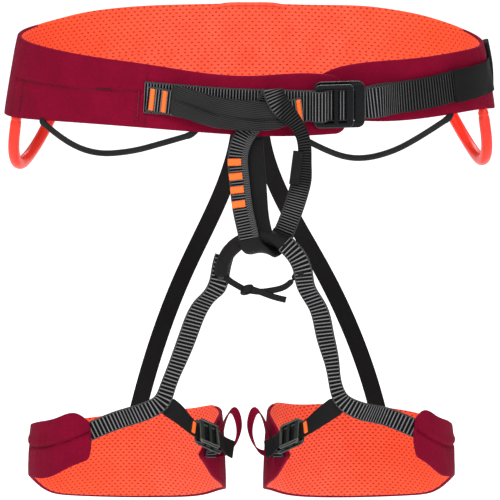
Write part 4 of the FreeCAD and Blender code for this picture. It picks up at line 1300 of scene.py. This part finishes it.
def make_rear_loop(name, points):
    """A moulded loop: a tube that swells a little at the bend, with two mould lines and two sewn-in roots."""
    corners = [vec(*p) for p in points]
    first, last = corners[0].copy(), corners[-1].copy()
    corners[0] = (first + inside_belt(first, 9)) / 2
    corners[-1] = (last + inside_belt(last, 13)) / 2
    across = unit(np.cross(corners[2] - corners[0], corners[4] - corners[0]))
    line = Line(facing(moulded_path(corners), across))

    def section(t, angle):
        full = rounding(min(t, 1 - t) * line.length, 9.0, least=0.02)
        swell = 0.9 * math.exp(-((t - 0.47) / 0.10) ** 2)
        a = 4.3 * flatter(math.cos(angle), 0.85) * full
        b = (4.3 + swell) * flatter(math.sin(angle), 0.85) * full
        seam = 0.12 * math.exp(-(math.sin(angle) / 0.16) ** 2)
        return a + math.copysign(seam, a), b, 4 * angle

    obj = swept(name + "_moulding", 110, 24, along_line(line, 0, line.length), section)
    dress(obj, name, ORANGE_PLASTIC, "orange_plastic", (name,))
    steps = [line.length * k / 200 for k in range(201)]
    for i, (tip, rise, end, step) in enumerate(((first, 9, 0, 2.5), (last, 11, line.length, -2.5))):
        near = min(steps, key=lambda s: np.linalg.norm(line.frame(s)[0] - tip))
        points = [inside_belt(tip, rise)]
        points += [line.frame(s)[0] for s in (end, (near + end) / 2, near, near + step)]
        loop_root(f"{name}_root_{i}", points, 4.15, ORANGE_PLASTIC, "orange_plastic")


# ---- legs ----


def pad_point(leg, u, z, out):
    drop = LEG_FLARE * (z + 300)
    a = leg["half"] - drop
    return leg_place(leg)(math.degrees(math.asin(u / a)), z, -out)


def leg_frame(leg):
    side = leg["side"]
    origin = vec(leg["centre"] - side * leg["buckle"], -66.5, -274)
    along = unit(vec(-side * 0.755, 0.47, -0.463))
    across = vec(side * 0.05, 0.74, 0.67)
    across = unit(across - along * across.dot(along))
    if side > 0:
        across = -across
    return origin, along, across, np.cross(along, across)


def make_leg_straps(name, leg):
    side = leg["side"]
    origin, along, across, out = leg_frame(leg)
    up = across * -side

    def local(x, z):
        return origin + along * x + out * z

    begin = pad_point(leg, leg["tab"] + 3.0, -271.8, -3.6)
    crest = vec(*leg["strap"][-1])
    middle = vec(begin[0] + 0.42 * (crest[0] - begin[0]), begin[1] - 7.5 + leg["tab"] * 0.03, -259.5)
    stations = leg["root"] + facing(leg["strap"][:-2], (1, 0, -0.35 * side))
    stations += [(crest + vec(side * -2.5, -0.9, 23), (1, 0, 0)),
                 (crest + vec(side * 3, -0.8, 11), (0.8, 0, 0.5 * side)),
                 (crest + vec(side * 12, 0.6, 4.8), (0.45, 0, 0.9 * side))]
    stations += facing((middle, begin), (0.3, 0, 0.95 * side))
    line = Line(stations)
    turn = line.station(len(leg["root"]) + len(leg["strap"]) - 0.4) - 26

    def taper(s):
        return 1 - leg["slim"] * math.exp(-((s - turn) / 22) ** 2)

    front = strap(f"{name}_front_webbing", line, 15, 1.5, None, THIGH_WEB, replaces=(f"{name}_front_strap",),
                  pitch=3.2, rib=0.2, shape=taper)
    top, low = vec(*leg["root"][-1][0]), vec(*leg["strap"][1])
    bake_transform(front)
    route = [((crest[0] + side * 2.5, -84.6, -240), (-0.7 * side, 0, 0.7)),
             ((crest[0] - side * 1.0, -83.8, -244.5), (-0.5 * side, 0, 0.85)),
             ((crest[0] - side * 8, -81.8, -250.5), (0, 0.2, 1))]
    route += facing([local(x, 0) for x in (-13, 0, 12)], up)
    route += [(local(19, -2.6), (side * 0.1, 0.5, 0.8)), (local(28, -3.4), (side * 0.1, 0.4, 0.85))]
    line = Line(route)

    def widen(s):
        return 0.6 + 0.4 * float(smoothstep(s, 0, 9))

    strap(f"{name}_loop_webbing", line, 15, 1.4, name, SMOOTH_WEB, replaces=(f"{name}_thigh_webbing",),
          shape=widen)
    tack = bartack(f"{name}_tack", line, line.station(2.85), 0, 11, 3.6, name, 1.0)
    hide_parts(f"{name}_bartack")
    anchor = facing([local(x, -4.4) for x in (1, 7)], up)
    sewn = [pad_point(leg, 12 - leg["half"], z, rise) for z, rise in ((-289, 3), (-297, 1.2))]
    anchor += facing(sewn, (-side * 0.56, 0.83, 0))
    strap(f"{name}_anchor_webbing", anchor, 15, 1.4, name, LEG_WEB, replaces=(f"{name}_buckle_anchor",),
          pitch=2.45, rib=0.1)


def make_leg_buckle(name, leg):
    origin, along, across, out = leg_frame(leg)
    base = matrix_of(origin, along, across)
    under = base @ Matrix.Translation((0, 0, -2.8 * MM))
    plate(f"{name}_plate", (27, 23), ((-6, 4), (2.4, 4), (8.6, 2.4)), 16.5, 1.8, 3, under,
          name, BLACK_METAL, "black_aluminium", f"{name}_buckle_plate", 0.4)
    over = base @ Matrix.Translation((-2 * MM, 0, 1.6 * MM))
    plate(f"{name}_slider", (20, 22), ((-3, 5), (4.6, 4)), 16.5, 1.8, 2, over,
          f"{name}_buckle_slider", GREY_METAL, "grey_aluminium", f"{name}_buckle_slider")


def make_tail_keeper(name, leg):
    side = leg["side"]
    edge = leg["centre"] - side * leg["half"]
    points = [(edge + side * way, y, z) for way, y, z in
              ((3.0, -28.5, -287), (-1, -35, -268), (-7, -41, -259.8), (-11, -45, -268), (-9.5, -45, -283),
               (-4, -40, -293), (4.6, -32.5, -297))]
    strap(f"{name}_keeper_loop", facing(points, (-0.45 * side, 0.75, 0.5)), 7.5, 1.1, name, SHELL,
          "burgundy_fabric", (f"{name}_tail_keeper",))


def make_leg(name, leg):
    make_leg_pad(name, leg)
    make_leg_straps(name, leg)
    make_leg_buckle(name, leg)
    make_tail_keeper(name, leg)


# ---- camera, light and stage ----


def area_light(name, place, aim, size, power, colour=(1, 1, 1)):
    light = bpy.data.lights.new(name, "AREA")
    light.shape = "RECTANGLE"
    light.size, light.size_y = size
    light.energy = power
    light.color = colour
    obj = bpy.data.objects.new(name, light)
    obj.location = place
    obj.rotation_euler = (Vector(aim) - Vector(place)).to_track_quat("-Z", "Y").to_euler()
    bpy.context.scene.collection.objects.link(obj)
    return obj


def make_stage():
    """A white floor well below the hanging harness, a bright world and three soft lights."""
    scene = bpy.context.scene
    scene.view_settings.view_transform = "Standard"
    world = bpy.data.worlds.new("studio")
    world.use_nodes = True
    world.node_tree.nodes["Background"].inputs[0].default_value = (1, 1, 1, 1)
    world.node_tree.nodes["Background"].inputs[1].default_value = 0.62
    scene.world = world
    aim = (0, 0, -0.14)
    area_light("key", (-0.8, -1.9, 2.2), aim, (1.1, 1.1), 66)
    area_light("fill", (1.7, -2.4, 0.4), aim, (1.2, 1.2), 18)
    area_light("back", (0.3, 2.2, 1.9), aim, (1.4, 1.0), 34)
    n = Nodes("pale floor", rough=0.9)
    n.colour(n.mix(n.noise(3, 2), (0.92, 0.92, 0.92), (0.96, 0.96, 0.96)))
    n.shader.inputs["Emission Color"].default_value = (1, 1, 1, 1)
    n.shader.inputs["Emission Strength"].default_value = 0.55
    side, depth = 14000, -900
    corners = [(x, y, depth) for x, y in ((-side, -side), (side, -side), (side, side), (-side, side))]
    floor = add_object("floor", corners, [(0, 1, 2, 3)])
    floor.data.materials.append(n.material)


VIEW_WIDTH = 0.3925


def make_camera():
    """A very long lens from slightly above, as a catalogue view."""
    target = Vector((0, 0, -0.1402))
    lift = math.radians(13)
    distance = 12.0
    data = bpy.data.cameras.new("camera")
    data.sensor_width = 36
    data.lens = 36 * distance / VIEW_WIDTH
    data.clip_end = 80
    camera = bpy.data.objects.new("camera", data)
    camera.location = target + Vector((0, -math.cos(lift), math.sin(lift))) * distance
    camera.rotation_euler = (target - camera.location).to_track_quat("-Z", "Y").to_euler()
    bpy.context.scene.collection.objects.link(camera)
    bpy.context.scene.camera = camera


make_camera()
make_front_loops()
for loop_name, loop_points in REAR_LOOPS.items():
    make_rear_loop(loop_name, loop_points)
make_belt()
make_waist_strap()
make_tie_in()
make_waist_buckle()
make_buckle_fold()
make_belay_loop()
make_arch()
make_lace()
make_risers()
make_haul_loop()
for leg_name, leg_sizes in LEGS.items():
    make_leg(leg_name + "_leg", leg_sizes)
make_stage()
